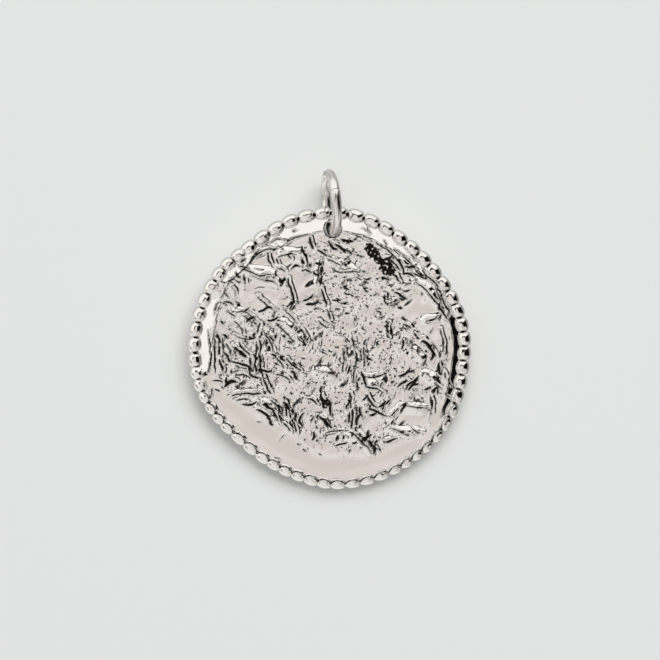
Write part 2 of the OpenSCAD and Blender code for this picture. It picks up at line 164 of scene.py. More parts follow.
# Creases cut into the field beside and between the folds:
# (x1, y1, x2, y2, bow, half width, depth)
CREASES = (
    # top left
    (-7.2, 7.7, -4.6, 8.9, 0.35, 0.16, 0.10),
    (-7.9, 7.1, -5.3, 6.5, -0.1, 0.15, 0.10),
    (-7.0, 6.4, -4.8, 5.8, 0.05, 0.12, 0.07),
    (-5.6, 8.4, -5.2, 7.1, -0.1, 0.16, 0.10),
    (-4.9, 7.1, -4.1, 7.0, 0.1, 0.14, 0.08),
    (-3.75, 6.4, -3.35, 4.1, 0.1, 0.2, 0.14),
    (-2.6, 8.2, -2.5, 7.6, 0, 0.2, 0.10),
    (-3.7, 8.4, -3.5, 8.0, 0, 0.15, 0.08),
    (-4.8, 8.1, -4.7, 7.6, 0, 0.14, 0.08),
    (-4.6, 8.2, -3.0, 8.4, 0.05, 0.12, 0.07),
    (-1.9, 10.0, -1.7, 8.7, -0.05, 0.17, 0.10),
    (-1.0, 7.8, -1.35, 5.9, 0.05, 0.11, 0.07),
    (-7.6, 6.5, -7.6, 5.6, 0.05, 0.14, 0.09),
    (-8.6, 6.4, -7.9, 6.0, -0.1, 0.12, 0.07),
    (-8.9, 5.6, -8.5, 4.7, 0.1, 0.12, 0.07),
    (-0.9, 5.4, -0.3, 4.0, -0.05, 0.17, 0.11),
    (-0.4, 3.6, -0.1, 2.6, 0.05, 0.13, 0.08),
    (-1.2, 2.6, -0.1, 1.7, -0.1, 0.12, 0.07),
    (-6.4, 4.5, -5.0, 3.4, -0.15, 0.12, 0.08),
    (-9.6, 4.2, -8.6, 3.9, 0.1, 0.14, 0.08),
    (-9.2, 3.6, -8.4, 3.0, -0.1, 0.14, 0.08),
    (-8.4, 3.4, -6.6, 2.5, 0.15, 0.13, 0.09),
    (-7.9, 2.9, -6.9, 1.9, 0.1, 0.12, 0.08),
    (-8.6, 2.6, -7.8, 1.2, 0.1, 0.13, 0.09),
    (-6.3, 2.4, -6.5, 1.2, 0.05, 0.17, 0.11),
    (-8.6, 1.2, -6.6, 0.9, -0.15, 0.12, 0.08),
    (-4.3, 3.6, -2.9, 2.2, 0.1, 0.12, 0.07),
    (-4.9, 2.3, -3.3, 0.4, 0.1, 0.13, 0.09),
    (-2.9, 1.9, -2.1, 0.7, 0.1, 0.12, 0.08),
    # left and lower left
    (-10.35, 3.4, -10.6, -1.8, -0.15, 0.12, 0.10),
    (-10.1, 1.6, -9.9, 0.2, 0.1, 0.11, 0.07),
    (-9.8, 0.3, -9.9, -0.6, 0, 0.2, 0.10),
    (-9.9, -1.0, -9.6, -1.9, 0, 0.2, 0.10),
    (-9.3, 0.6, -8.8, -0.6, 0.1, 0.12, 0.07),
    (-6.0, 1.8, -5.1, -0.2, 0.05, 0.13, 0.09),
    (-9.0, -1.1, -6.9, -1.9, 0.05, 0.2, 0.12),
    (-6.6, 0.5, -6.9, -1.8, 0.05, 0.16, 0.10),
    (-8.6, 0.2, -7.6, -0.9, 0.1, 0.2, 0.11),
    (-8.2, 0.6, -7.2, -0.6, -0.1, 0.16, 0.10),
    (-6.3, -0.8, -6.0, -2.4, -0.05, 0.18, 0.12),
    (-6.0, -2.4, -5.3, -3.9, -0.05, 0.16, 0.10),
    (-9.4, -3.3, -8.3, -3.0, 0.1, 0.32, 0.13),
    (-8.3, -2.4, -7.0, -2.6, 0.1, 0.12, 0.07),
    (-9.0, -4.3, -6.2, -4.1, 0.25, 0.12, 0.08),
    (-8.2, -5.0, -6.6, -4.6, -0.2, 0.2, 0.10),
    (-8.9, -4.9, -7.4, -4.4, 0.1, 0.12, 0.07),
    (-6.5, -5.2, -5.3, -6.6, 0.15, 0.2, 0.12),
    (-6.0, -4.9, -4.7, -6.5, 0.15, 0.17, 0.11),
    (-5.4, -4.6, -4.2, -6.0, 0.1, 0.13, 0.08),
    (-4.2, -4.7, -3.9, -5.9, 0.05, 0.16, 0.10),
    (-3.4, -6.0, -3.1, -7.4, 0.05, 0.16, 0.10),
    (-4.2, -6.6, -3.7, -7.3, 0.05, 0.13, 0.08),
    (-0.8, -4.0, -0.7, -5.3, 0.02, 0.22, 0.13),
    (-1.1, -6.0, -0.2, -7.0, 0.1, 0.2, 0.11),
    (-2.0, -4.4, -1.3, -5.0, 0.1, 0.15, 0.09),
    (-4.9, -2.4, -3.6, -3.0, 0.15, 0.12, 0.08),
    (-3.9, -0.9, -2.7, -2.0, -0.1, 0.14, 0.09),
    (-4.9, -0.6, -4.2, -1.6, 0.05, 0.14, 0.09),
    # lower right
    (1.1, -0.1, 1.0, -1.9, 0.05, 0.12, 0.05),
    (1.9, 1.2, 2.2, 0.0, 0.05, 0.13, 0.06),
    (2.2, 0.0, 2.0, -3.0, 0.1, 0.14, 0.08),
    (2.9, 0.3, 3.0, -1.9, -0.1, 0.12, 0.05),
    (1.6, -3.9, 1.8, -5.4, 0.05, 0.13, 0.07),
    (1.95, -5.4, 1.8, -7.1, 0.02, 0.17, 0.1),
    (3.1, -2.6, 4.8, -2.1, -0.15, 0.12, 0.08),
    (2.9, -3.4, 4.6, -3.9, 0.1, 0.14, 0.09),
    (3.2, -4.2, 4.2, -5.2, -0.1, 0.2, 0.11),
    (3.4, -5.4, 4.9, -5.9, 0.1, 0.2, 0.11),
    (6.0, -3.3, 6.9, -2.9, 0.1, 0.17, 0.09),
    (6.7, -3.7, 7.3, -3.1, 0.1, 0.13, 0.08),
    (5.0, -6.0, 6.1, -5.2, -0.15, 0.13, 0.08),
    (6.2, -5.2, 8.5, -5.2, 0.1, 0.12, 0.07),
    (8.75, -4.1, 8.9, -5.5, 0, 0.2, 0.12),
    (8.85, -5.5, 8.8, -6.9, 0, 0.17, 0.11),
    (5.2, -7.1, 6.9, -7.7, 0.1, 0.13, 0.08),
    (7.0, -7.0, 8.5, -7.6, -0.15, 0.14, 0.09),
    (4.9, -8.3, 5.9, -8.0, -0.1, 0.2, 0.10),
    (7.0, -8.6, 7.7, -8.2, 0, 0.17, 0.09),
    (-0.5, -7.5, 1.5, -7.3, 0.15, 0.11, 0.07),
    (1.6, -7.4, 3.5, -9.3, 0.2, 0.14, 0.10),
    (2.2, -7.6, 4.0, -8.9, 0.2, 0.12, 0.08),
    (0.4, -8.6, 1.4, -8.4, -0.1, 0.16, 0.09),
    (8.1, 0.7, 9.3, -0.6, 0.1, 0.24, 0.12),
    (7.2, 1.5, 7.7, 0.8, 0, 0.14, 0.09),
    (10.3, -3.1, 10.5, -4.1, 0, 0.18, 0.10),
    (9.6, -4.3, 10.0, -5.0, 0, 0.2, 0.10),
    (10.0, -2.0, 10.3, -2.9, 0, 0.15, 0.09),
    (9.2, -2.9, 9.9, -3.6, 0, 0.12, 0.07),
    (4.6, -5.2, 5.4, -4.4, 0.1, 0.12, 0.07),
    # top right
    (3.7, 9.7, 5.6, 8.2, 0.15, 0.13, 0.09),
    (5.6, 8.2, 6.4, 6.6, 0.1, 0.14, 0.09),
    (5.0, 8.1, 6.0, 6.8, 0.1, 0.12, 0.08),
    (5.5, 9.0, 7.2, 7.3, 0.1, 0.12, 0.08),
    (7.2, 6.9, 8.6, 6.1, 0.1, 0.13, 0.08),
    (8.6, 6.1, 9.9, 4.0, 0.15, 0.14, 0.10),
    (7.5, 6.1, 8.7, 4.9, 0.05, 0.12, 0.08),
    (8.7, 4.9, 9.6, 3.8, 0.05, 0.12, 0.08),
    (0.4, 9.3, 1.3, 8.5, 0.05, 0.2, 0.11),
    (1.0, 8.9, 1.9, 8.3, 0.05, 0.14, 0.09),
    (5.4, 6.7, 6.0, 5.9, 0.05, 0.15, 0.09),
    (4.8, 4.7, 5.0, 4.0, -0.1, 0.13, 0.08),
    (-0.3, 8.1, 1.0, 7.4, 0.1, 0.11, 0.07),
    (0.2, 7.3, 1.0, 6.7, -0.1, 0.14, 0.09),
    (1.0, 6.8, 2.2, 6.9, -0.1, 0.12, 0.08),
    (9.4, 2.9, 8.4, 2.3, 0.1, 0.12, 0.07),
    (9.7, 1.9, 9.9, -0.4, 0.1, 0.12, 0.08),
    (5.2, 2.4, 5.1, 1.0, -0.1, 0.14, 0.09),
    (6.4, 2.3, 7.0, 1.8, 0.1, 0.13, 0.08),
)

# Sharp ridges that stand between the creases: (x1, y1, x2, y2, bow, half width, height)
RIDGES = (
    (-7.7, 7.5, -5.5, 6.8, 0.15, 0.22, 0.08), (-5.5, 6.7, -4.4, 5.8, 0.05, 0.18, 0.07),
    (-7.0, 6.4, -5.0, 5.9, 0.05, 0.16, 0.06), (-4.6, 8.65, -3.2, 8.7, 0.05, 0.16, 0.06),
    (-6.9, 8.3, -4.7, 9.2, 0.1, 0.2, 0.08), (-6.8, 5.1, -4.7, 5.4, 0.1, 0.14, 0.05),
    (-8.4, 3.4, -6.9, 2.3, 0.1, 0.2, 0.08), (-6.2, 2.5, -4.2, 0.9, -0.05, 0.17, 0.07),
    (-4.3, 0.7, -3.0, 1.3, 0.05, 0.18, 0.07), (-9.2, 1.9, -8.1, 2.3, 0.05, 0.16, 0.06),
    (-6.9, -0.3, -5.6, -2.6, -0.1, 0.16, 0.06), (-1.4, 3.5, 0.3, 2.6, 0.1, 0.17, 0.06),
    (-1.3, 5.9, -0.9, 7.7, -0.1, 0.14, 0.05), (0.8, 1.2, 1.7, 0.6, 0.05, 0.15, 0.05),
    (2.5, -2.2, 4.6, -2.8, 0.1, 0.22, 0.08), (-2.3, -3.4, -0.9, -3.0, 0.1, 0.16, 0.06),
    (4.3, -5.9, 8.4, -5.2, 0.3, 0.2, 0.08), (5.4, -6.9, 8.5, -7.3, -0.1, 0.2, 0.08),
    (-0.7, -7.4, 2.0, -7.1, 0.2, 0.18, 0.07), (1.9, -7.1, 4.2, -9.2, 0.3, 0.2, 0.08),
    (7.6, -2.4, 8.8, -3.0, 0.05, 0.18, 0.07), (6.0, 1.9, 7.4, 1.2, 0.05, 0.16, 0.06),
    (7.9, 2.5, 9.3, 2.9, 0.05, 0.18, 0.07), (-0.4, 8.3, 1.6, 7.6, 0.1, 0.17, 0.07),
    (0.9, 7.3, 2.6, 6.9, 0.1, 0.15, 0.06), (-8.6, -4.0, -6.6, -4.4, 0.15, 0.18, 0.07),
    (-5.9, -5.6, -4.6, -7.0, 0.1, 0.17, 0.06), (4.9, 9.0, 6.6, 7.4, 0.1, 0.18, 0.07),
    (7.6, 6.3, 9.2, 4.6, 0.1, 0.18, 0.07),
)

# Smooth places on the field, where marks are few: (x, y, radius)
SMOOTH_SPOTS = (
    (-7.6, -7.2, 1.9), (-5.4, -8.4, 1.9), (-3.0, -9.2, 1.5), (-9.0, -5.6, 1.2),
    (8.6, 4.4, 1.5), (7.0, 3.6, 0.9), (-5.8, 5.0, 1.5), (-4.4, 7.2, 1.8), (-3.2, 9.4, 0.9),
    (-2.5, 5.8, 1.1), (6.8, -6.3, 1.1), (7.9, -6.2, 0.8), (-8.1, 5.1, 1.2), (-6.6, 6.4, 1.2),
    (-6.2, 7.9, 1.1),
    (3.0, -9.8, 1.0), (5.8, -9.2, 1.0), (-0.4, -9.6, 1.0), (8.6, -8.0, 0.9),
    (-7.0, 0.2, 0.3), (3.6, -6.6, 0.5), (9.2, 1.2, 0.8), (8.5, 2.1, 0.7),
)
# Pitted places, where the cast skin is left dark between fine grains: (x, y, radius)
PITTED_SPOTS = (
    (3.4, 8.95, 0.5), (3.75, 8.55, 0.6), (4.05, 8.1, 0.45), (4.4, 7.75, 0.42), (4.85, 7.35, 0.78),
    (5.2, 6.9, 0.5),
)
# Where the surface is only finely scored: (x, y, radius)
FINE_SPOTS = (
    (1.2, 1.6, 2.6), (3.8, 2.6, 2.6), (-0.8, -1.2, 1.8), (2.4, 4.8, 2.2), (5.4, -0.8, 1.6),
    (0.6, 5.8, 1.4), (-2.4, 0.2, 1.2), (4.4, -3.6, 1.0), (6.6, 2.6, 1.2), (1.0, -3.4, 1.2),
    (-2.6, -3.4, 1.0), (-4.4, 5.2, 0.8),
)
# Ways of the short strokes: (x, y, reach, direction in degrees)
STROKE_WAYS = (
    (3.0, -1.0, 2.5, 92), (7.0, 1.0, 2.5, 128), (1.5, 6.0, 3.0, 165), (5.0, 4.5, 2.5, 170),
    (-8.5, 0.0, 2.5, 115), (-5.0, -3.5, 2.5, 125), (-2.0, -1.5, 2.0, 140),
    (1.0, -5.5, 2.5, 75), (5.0, -4.0, 2.5, 35), (7.5, -3.0, 2.0, 60), (1.5, -9.0, 2.0, 100),
    (-7.0, 4.0, 2.0, 20), (0.5, 2.5, 2.0, 150), (9.3, 0.0, 1.5, 80), (-3.0, 3.5, 2.0, 40),
)

# Share of the solid's grooves that the dressed face keeps, because its creases do the rest
GROOVE_SHARE = 0.2
FOLD_END = 0.15  # share of its height that a fold keeps at its two ends
RIPPLE_SHARE = 0.6  # height of the ripples against the solid's
RIPPLE_FADE = 1.6  # way to the border over which they fade
GROUND_SWELL = 0.04  # unevenness of the ground between the folds
FACE_SWELL = 0.022  # unevenness of the whole face, border and all
BORDER_LIP = 0.05  # rise of the border over the field
BORDER_BLEND = 0.8  # width over which it rises
# How far the hand strays from the lines of the tables: (way, pitch)
HAND = ((0.04, 0.8), (0.1, 2.6))
# Share of its tabled width that a crease keeps
CREASE_SHARE = 0.5
# Greatest depth of a crease against half its width, as much as the mesh can draw
CREASE_FALL = 0.42
# The lip beside each crease: half its width in millimetres, and its height against the
# depth, in the field and on the border
LIP_WIDTH = 0.17
LIP_SHARE = 0.9
BORDER_LIP_SHARE = 0.5
CUT_RANGE = (-0.15, 0.12)  # lowest and highest that creases and lips may reach together
# The oxide's line against its crease or its short stroke, and the line's fade in millimetres
INK_SHARE = 0.9
STROKE_INK = 0.7
INK_FADE = 0.13
LIMIT_REFLECTION_W = 0.06  # half width of the painted dark reflection, a black line where a steep slope begins
# Short strokes are strewn within this radius, and keep clear of the border
STROKE_REACH = 10.6
STROKE_CLEAR = 0.35

# What each point of the casting carries for its finish: how inked (oxide, painted shade in the
# hole and painted dark reflections), grainy and pitted it is
MARKS = ("dark", "grain", "pitted")

# How the beaded edge is laid out in the mesh
COLUMNS = 20  # columns of faces across each bead
# Faces along a side of the grid that becomes the field: its rim has one for each column
GRID = COLUMNS * sum(count for count, _ in BEAD_RUNS) // 4
# Rows of points over each bead, as shares of the way from its inner foot to its outer side,
# and below that side, as degrees round to the back
BEAD_ROWS = (0.05, 0.12, 0.2, 0.28, 0.37, 0.46, 0.55, 0.64, 0.73, 0.82, 0.91, 1.0)
BEAD_UNDER = (35, 80)
BEAD_LONG = 1.05  # a bead's greatest length from its inner foot to the outer edge
BEAD_SCALLOP = 0.3  # how much further out the foot stands between two beads
BEAD_NOTCH = 0.3  # how much further in the outer edge stands between two beads
BEAD_TOP = 1.32  # height of the beads above the back
BEAD_WEB = 0.92  # height of the metal between two beads
BEAD_DENT = 0.022  # unevenness of their polished tops
BEAD_DENT_PITCH = 0.6
BEAD_LEAN = 0.1  # how far the tops stand out of line, as a share of half of the bead
BEAD_SQUARE = 2.25  # 2 for a round section, more for a squarer one
# How much shorter the beads are on some sides: (direction, length)
BEAD_SHORT = ((0, 0), (90, 0), (180, 0), (262, 0), (278, 0.14), (300, 0.2), (325, 0.12), (345, 0))
# How far the top of a bead stands inside its middle: (direction, share of half of the bead)
BEAD_CREST = (
    (0, 0.24), (60, 0.1), (90, 0.14), (130, 0.18), (160, 0.12), (190, 0.1), (235, 0.3),
    (300, 0.34),
)
# Oxide left in the corner between the face and the beads: (direction, share)
FOOT_INK = (
    (0, 0.3), (60, 0.4), (90, 0.4), (125, 0.42), (165, 0.35), (190, 0.4), (210, 0.12),
    (245, 0.05), (270, 0.15), (300, 0.2), (340, 0.4),
)
# Oxide left between the feet of two beads: (direction, share)
GAP_INK = ((0, 1), (60, 0.8), (120, 0.75), (190, 0.75), (215, 0.5), (300, 0.5), (335, 0.9))
FOOT_INK_W = 0.13  # width of that line on the face
# Painted dark reflection: a black line over the polished inner side of the beads: (direction,
# share)
ARC_PAINTED_REFLECTION = (
    (0, 0), (188, 0), (200, 0.6), (212, 0.7), (240, 0.7), (300, 0.72), (330, 0.55), (350, 0),
)
# Where that line runs, as a share of the way over the bead, how much further out it runs
# beside the bead's middle, and half its width
ARC_AT = 0.365
ARC_BOW = 0.28
ARC_W = 0.065
WALL_IN = 0.12  # how far the wall stands inside the bead centres
BACK_EASE = 0.15  # ease of the edge round the back
HOLE_EASE = 0.04  # rounding of the hole's edge

# The wire passes the middle of the hole at these shares of the disc's thickness above its
# back, seen from the side and from the end
SIDE_CROSS = 0.13
END_CROSS = 0.9
RING_RISE = 0.05  # height of the ring's centre above the field
# The ring's joint: rounding of the wire's ends, how far they stand out of line, and how far
# round from the joint, in radians
END_EASE = 0.035
END_PROUD = 0.05
END_REACH = 0.35
WIRE_SWAY = 0.02  # unevenness of the bent wire elsewhere


class PendantSizes(bpy.types.PropertyGroup):
    """Sizes of the pendant, the same as those of its solids."""

    disc_w: FloatProperty(
        name="Disc width", description="Width of the disc over its beads",
        default=25 * MM, min=0.02, max=0.03, unit="LENGTH", precision=5,
    )
    disc_t: FloatProperty(
        name="Field thickness", description="From the flat back to the plain ground of the face",
        default=1.2 * MM, min=0.001, max=0.002, unit="LENGTH", precision=5,
    )
    fold_gain: FloatProperty(
        name="Fold height", description="1 as cast, 0 for a plain field",
        default=1, min=0, max=1.5, subtype="FACTOR",
    )
    crease_gain: FloatProperty(
        name="Crease depth", description="1 as cast, 0 for no creases and strokes",
        default=1, min=0, max=1.5, subtype="FACTOR",
    )
    strokes: IntProperty(
        name="Short strokes", description="Number of short strokes strewn over the field",
        default=325, min=0, max=3000,
    )
    slope_gain: FloatProperty(
        name="Slope steepness", description="1 as cast, 0 for a border that is flat to the beads",
        default=1, min=0, max=1.2, subtype="FACTOR",
    )
    bead_start: FloatProperty(
        name="First bead", description="Direction of the first bead from +X",
        default=math.radians(4.3), subtype="ANGLE",
    )
    bead_fill: FloatProperty(
        name="Bead fill", description="Share of its place along the edge that a bead fills",
        default=0.955, min=0.8, max=1, subtype="FACTOR",
    )
    bead_max_r: FloatProperty(
        name="Largest bead", description="Largest radius of a bead",
        default=0.66 * MM, unit="LENGTH", precision=5,
    )
    bead_z: FloatProperty(
        name="Bead height", description="Height of the bead centres above the back",
        default=0.7 * MM, unit="LENGTH", precision=5,
    )
    hole_d: FloatProperty(
        name="Hole", description="Diameter of the hole for the jump ring",
        default=1.55 * MM, unit="LENGTH", precision=5,
    )
    hole_in: FloatProperty(
        name="Hole inset", description="Distance of the hole's middle from the outer edge",
        default=2 * MM, unit="LENGTH", precision=5,
    )
    hole_x: FloatProperty(
        name="Hole offset", description="Sideways place of the hole",
        default=0.15 * MM, unit="LENGTH", precision=5,
    )
    ring_d: FloatProperty(
        name="Ring diameter", description="Outside diameter of the jump ring",
        default=6 * MM, unit="LENGTH", precision=5,
    )
    wire_d: FloatProperty(
        name="Wire", description="Thickness of the ring's wire",
        default=0.9 * MM, unit="LENGTH", precision=5,
    )
    ring_lean: FloatProperty(
        name="Ring lean", description="Lean of the ring to +X, away from square to the disc",
        default=math.radians(10), subtype="ANGLE",
    )
    ring_turn: FloatProperty(
        name="Ring turn", description="Turn of the ring seen from the front",
        default=math.radians(4), subtype="ANGLE",
    )
    seam_at: FloatProperty(
        name="Joint place", description="Direction of the butt joint, from the outer end upwards",
        default=math.radians(64), subtype="ANGLE",
    )
    seam_gap: FloatProperty(
        name="Joint opening", description="Opening of the butt joint",
        default=0.06 * MM, unit="LENGTH", precision=5,
    )


class PendantFinish(bpy.types.PropertyGroup):
    """Colours and polish of the pendant and its stage."""

    silver: FloatVectorProperty(
        name="Silver", description="Colour of the polished metal", subtype="COLOR",
        size=3, min=0, max=1, default=(0.93, 0.90, 0.88),
    )
    polish: FloatProperty(
        name="Roughness", description="Roughness of the polished casting",
        default=0.1, min=0, max=1, subtype="FACTOR",
    )
    grain_mm: FloatProperty(
        name="Grain", description="Size of the cast grain left in the field, in millimetres",
        default=0.22, min=0.05, max=1,
    )
    floor_light: FloatProperty(
        name="Floor light", description="Strength of the even light on the floor",
        default=0.715, min=0, max=4,
    )
    window_light: FloatProperty(
        name="Window light", description="Power of the soft window that lights the floor",
        default=68, min=0, max=200, unit="POWER",
    )


def linear(colour):
    """A colour written as sRGB hex, as the linear RGBA that Blender wants."""
    channels = [int(colour[i : i + 2], 16) / 255 for i in (0, 2, 4)]
    return (*[c / 12.92 if c <= 0.04045 else ((c + 0.055) / 1.055) ** 2.4 for c in channels], 1)


def node(tree, kind, settings=None, links=None):
    """Adds a node. settings are its properties or input values; links feed its inputs."""
    made = tree.nodes.new(kind)
    for name, value in (settings or {}).items():
        if isinstance(name, str) and hasattr(made, name):
            setattr(made, name, value)
        else:
            made.inputs[name].default_value = value
    for name, source in (links or {}).items():
        tree.links.new(source, made.inputs[name])
    return made


# The disc's layout, worked out as its solid is


def ease(t):
    """Smooth rise from 0 to 1."""
    u = np.clip(t, 0, 1)
    return u * u * (3 - 2 * u)


def around(rows, a):
    """Value of a closed table of (direction, value) rows in the directions a."""
    at = np.array([row[0] for row in rows], float)
    value = np.array([row[1] for row in rows], float)
    n = len(rows)
    b = np.where(a < at[0], a + 360, a)
    i = np.searchsorted(at, b, side="right") - 1
    to = np.where(i == n - 1, at[0] + 360, at[(i + 1) % n])
    t = (b - at[i]) / (to - at[i])
    p, q, r, s = (value[(i + k) % n] for k in (-1, 0, 1, 2))
    return q + t * (r - p + t * (2 * p - 5 * q + 4 * r - s + t * (3 * (q - r) + s - p))) / 2


class Layout:
    """Places and sizes worked out from the named sizes, in millimetres, seen from the disc."""

    def __init__(self, sizes):
        for name in sizes.__annotations__:
            value = getattr(sizes, name)
            is_length = sizes.bl_rna.properties[name].unit == "LENGTH"
            setattr(self, name, value / MM if is_length else value)
        self.grow = self.disc_w / DRAWN_W
        steps = np.array([step for count, step in BEAD_RUNS for _ in range(count)], float)
        steps *= 360 / steps.sum()
        self.bead_a = math.degrees(self.bead_start) + np.concatenate([[0], np.cumsum(steps[:-1])])
        half = np.radians((steps + np.roll(steps, 1)) / 4)
        edge = self.edge_r(self.bead_a % 360)
        self.bead_r = np.minimum(
            self.bead_max_r, self.bead_fill * edge * np.sin(half) / (1 + np.sin(half))
        )
        self.steps = steps
        middle = edge - self.bead_r
        self.bead_x = middle * np.cos(np.radians(self.bead_a))
        self.bead_y = middle * np.sin(np.radians(self.bead_a))
        self.hole_y = float(self.edge_r(np.array([90.0]))[0]) - self.hole_in
        self.wire_r = self.wire_d / 2
        self.ring_r = self.ring_d / 2 - self.wire_r
        self.ring_z = self.disc_t + RING_RISE
        dip = (self.ring_z - SIDE_CROSS * self.disc_t) / math.cos(self.ring_lean)
        run = math.sqrt(self.ring_r**2 - dip**2)
        turn, lean = self.ring_turn, self.ring_lean
        side = (self.ring_z - END_CROSS * self.disc_t) * math.tan(lean)
        self.ring_x = self.hole_x - run * math.sin(turn) + side * math.cos(turn)
        self.ring_y = self.hole_y + run * math.cos(turn) + side * math.sin(turn)
        low_y = float(self.wall_r(np.array([270.0]))[0]) - BACK_EASE
        drop = self.ring_r * math.cos(lean) + self.wire_r
        prop = math.hypot(self.ring_y + low_y, self.ring_z)
        self.tilt = math.asin(drop / prop) - math.atan2(self.ring_z, self.ring_y + low_y)
        mid_x = ((self.bead_x + self.bead_r).max() + (self.bead_x - self.bead_r).min()) / 2
        ct, st = math.cos(self.tilt), math.sin(self.tilt)
        far_y = (
            self.ring_y * ct - self.ring_z * st + self.ring_r * math.cos(turn) + self.wire_r
        )
        near_y = (self.bead_y * ct - self.bead_z * st - self.bead_r).min()
        self.rest = (
            Matrix.Scale(MM, 4)
            @ Matrix.Translation((-mid_x, -(far_y + near_y) / 2, low_y * st))
            @ Matrix.Rotation(self.tilt, 4, "X")
        )

    def edge_r(self, a):
        """Radius of the outer edge in the directions a."""
        return self.disc_w / 2 + self.grow * around(EDGE, a)

    def wall_r(self, a):
        """Radius of the wall behind the beads."""
        return self.edge_r(a) - self.bead_max_r - WALL_IN


def along(x, y, line, grow):
    """Distance of the points from a bowed line, and how far along it they lie."""
    x1, y1, x2, y2, bow = (c * grow for c in line[:5])
    wx, wy = x2 - x1, y2 - y1
    length = math.hypot(wx, wy)
    t = np.clip(((x - x1) * wx + (y - y1) * wy) / length**2, 0, 1)
    off = bow * 4 * t * (1 - t) / length
    return np.hypot(x - x1 - t * wx + wy * off, y - y1 - t * wy - wx * off), t


def near(x, y, line, reach):
    """The points that can lie within reach of a line."""
    x1, y1, x2, y2, bow = line[:5]
    m = reach + abs(bow)
    beside = (x > min(x1, x2) - m) & (x < max(x1, x2) + m)
    return np.flatnonzero(beside & (y > min(y1, y2) - m) & (y < max(y1, y2) + m))


def in_spots(x, y, spots):
    """0 to 1, how far inside round spots the points lie."""
    best = np.zeros_like(x)
    for sx, sy, r in spots:
        best = np.maximum(best, ease(1.5 - np.hypot(x - sx, y - sy) / r))
    return best


def way_at(x, y):
    """Direction of the short strokes at a place, in radians."""
    c = s = 0.0
    for wx, wy, reach, way in STROKE_WAYS:
        w = math.exp(-((x - wx) ** 2 + (y - wy) ** 2) / reach**2)
        c += w * math.cos(math.radians(2 * way))
        s += w * math.sin(math.radians(2 * way))
    return math.atan2(s, c) / 2


def short_strokes(layout):
    """Short strokes strewn over the field: rows as in CREASES."""
    rng = random.Random(7)
    rows = []
    while len(rows) < layout.strokes:
        r, a = STROKE_REACH * math.sqrt(rng.random()), rng.uniform(0, 360)
        x, y = r * math.cos(math.radians(a)), r * math.sin(math.radians(a))
        spot = np.array([x]), np.array([y])
        limit = float(around(BORDER, np.array([a]))[0]) - STROKE_CLEAR
        bare = float(in_spots(*spot, SMOOTH_SPOTS)[0])
        thick = 0.5 + 0.5 * float(wander(*spot, 8, 2.2)[0])
        if r > limit or rng.random() < 0.93 * bare or rng.random() > 0.25 + 0.75 * thick:
            continue
        way = way_at(x, y) + rng.gauss(0, 0.45)
        bold = 1 - 0.6 * float(in_spots(*spot, FINE_SPOTS)[0])
        if rng.random() > bold + 0.15:
            continue
        size = rng.random()
        length = 0.12 + 1.1 * bold * size**3
        width = 0.075 + (0.06 * size + 0.03 * rng.random()) * bold
        dx, dy = length / 2 * math.cos(way), length / 2 * math.sin(way)
        depth = rng.uniform(0.005, 0.012) * (0.6 + 0.6 * size) * bold**1.5
        bow = rng.uniform(-0.2, 0.2) * length
        rows.append((x - dx, y - dy, x + dx, y + dy, bow, width, depth))
    return rows


def wander(x, y, seed, pitch):
    """A smooth value that wanders between about -1 and 1 over the field."""
    rng = random.Random(seed)
    total = np.zeros_like(x)
    for _ in range(7):
        way, wave = rng.uniform(0, math.pi), pitch * rng.uniform(0.7, 1.6)
        turn = 2 * math.pi / wave
        total += np.sin(
            turn * (x * math.cos(way) + y * math.sin(way)) + rng.uniform(0, 2 * math.pi)
        )
    return total / 3


def band_fall(layout, r, a):
    """Fall of the border's slope at the radii r in the directions a, and a painted dark
    reflection: a black line where a steep slope begins."""
    width = np.maximum(0.1, around([(way, wide) for way, wide, _ in BAND], a))
    slope = around([(way, deg) for way, _, deg in BAND], a)
    steep = np.tan(np.radians(slope))
    into = np.maximum(0, (r - layout.edge_r(a) + BEAD_LONG + width) / width)
    bend = np.where(into < BAND_BEND, into * into / (2 * BAND_BEND), into - BAND_BEND / 2)
    off = np.abs(into - 0.7 * BAND_BEND) * width
    line = np.clip(1.1 - off / LIMIT_REFLECTION_W, 0, 1) * ease((slope - 12) / 4)
    return layout.slope_gain * steep * width * bend, line


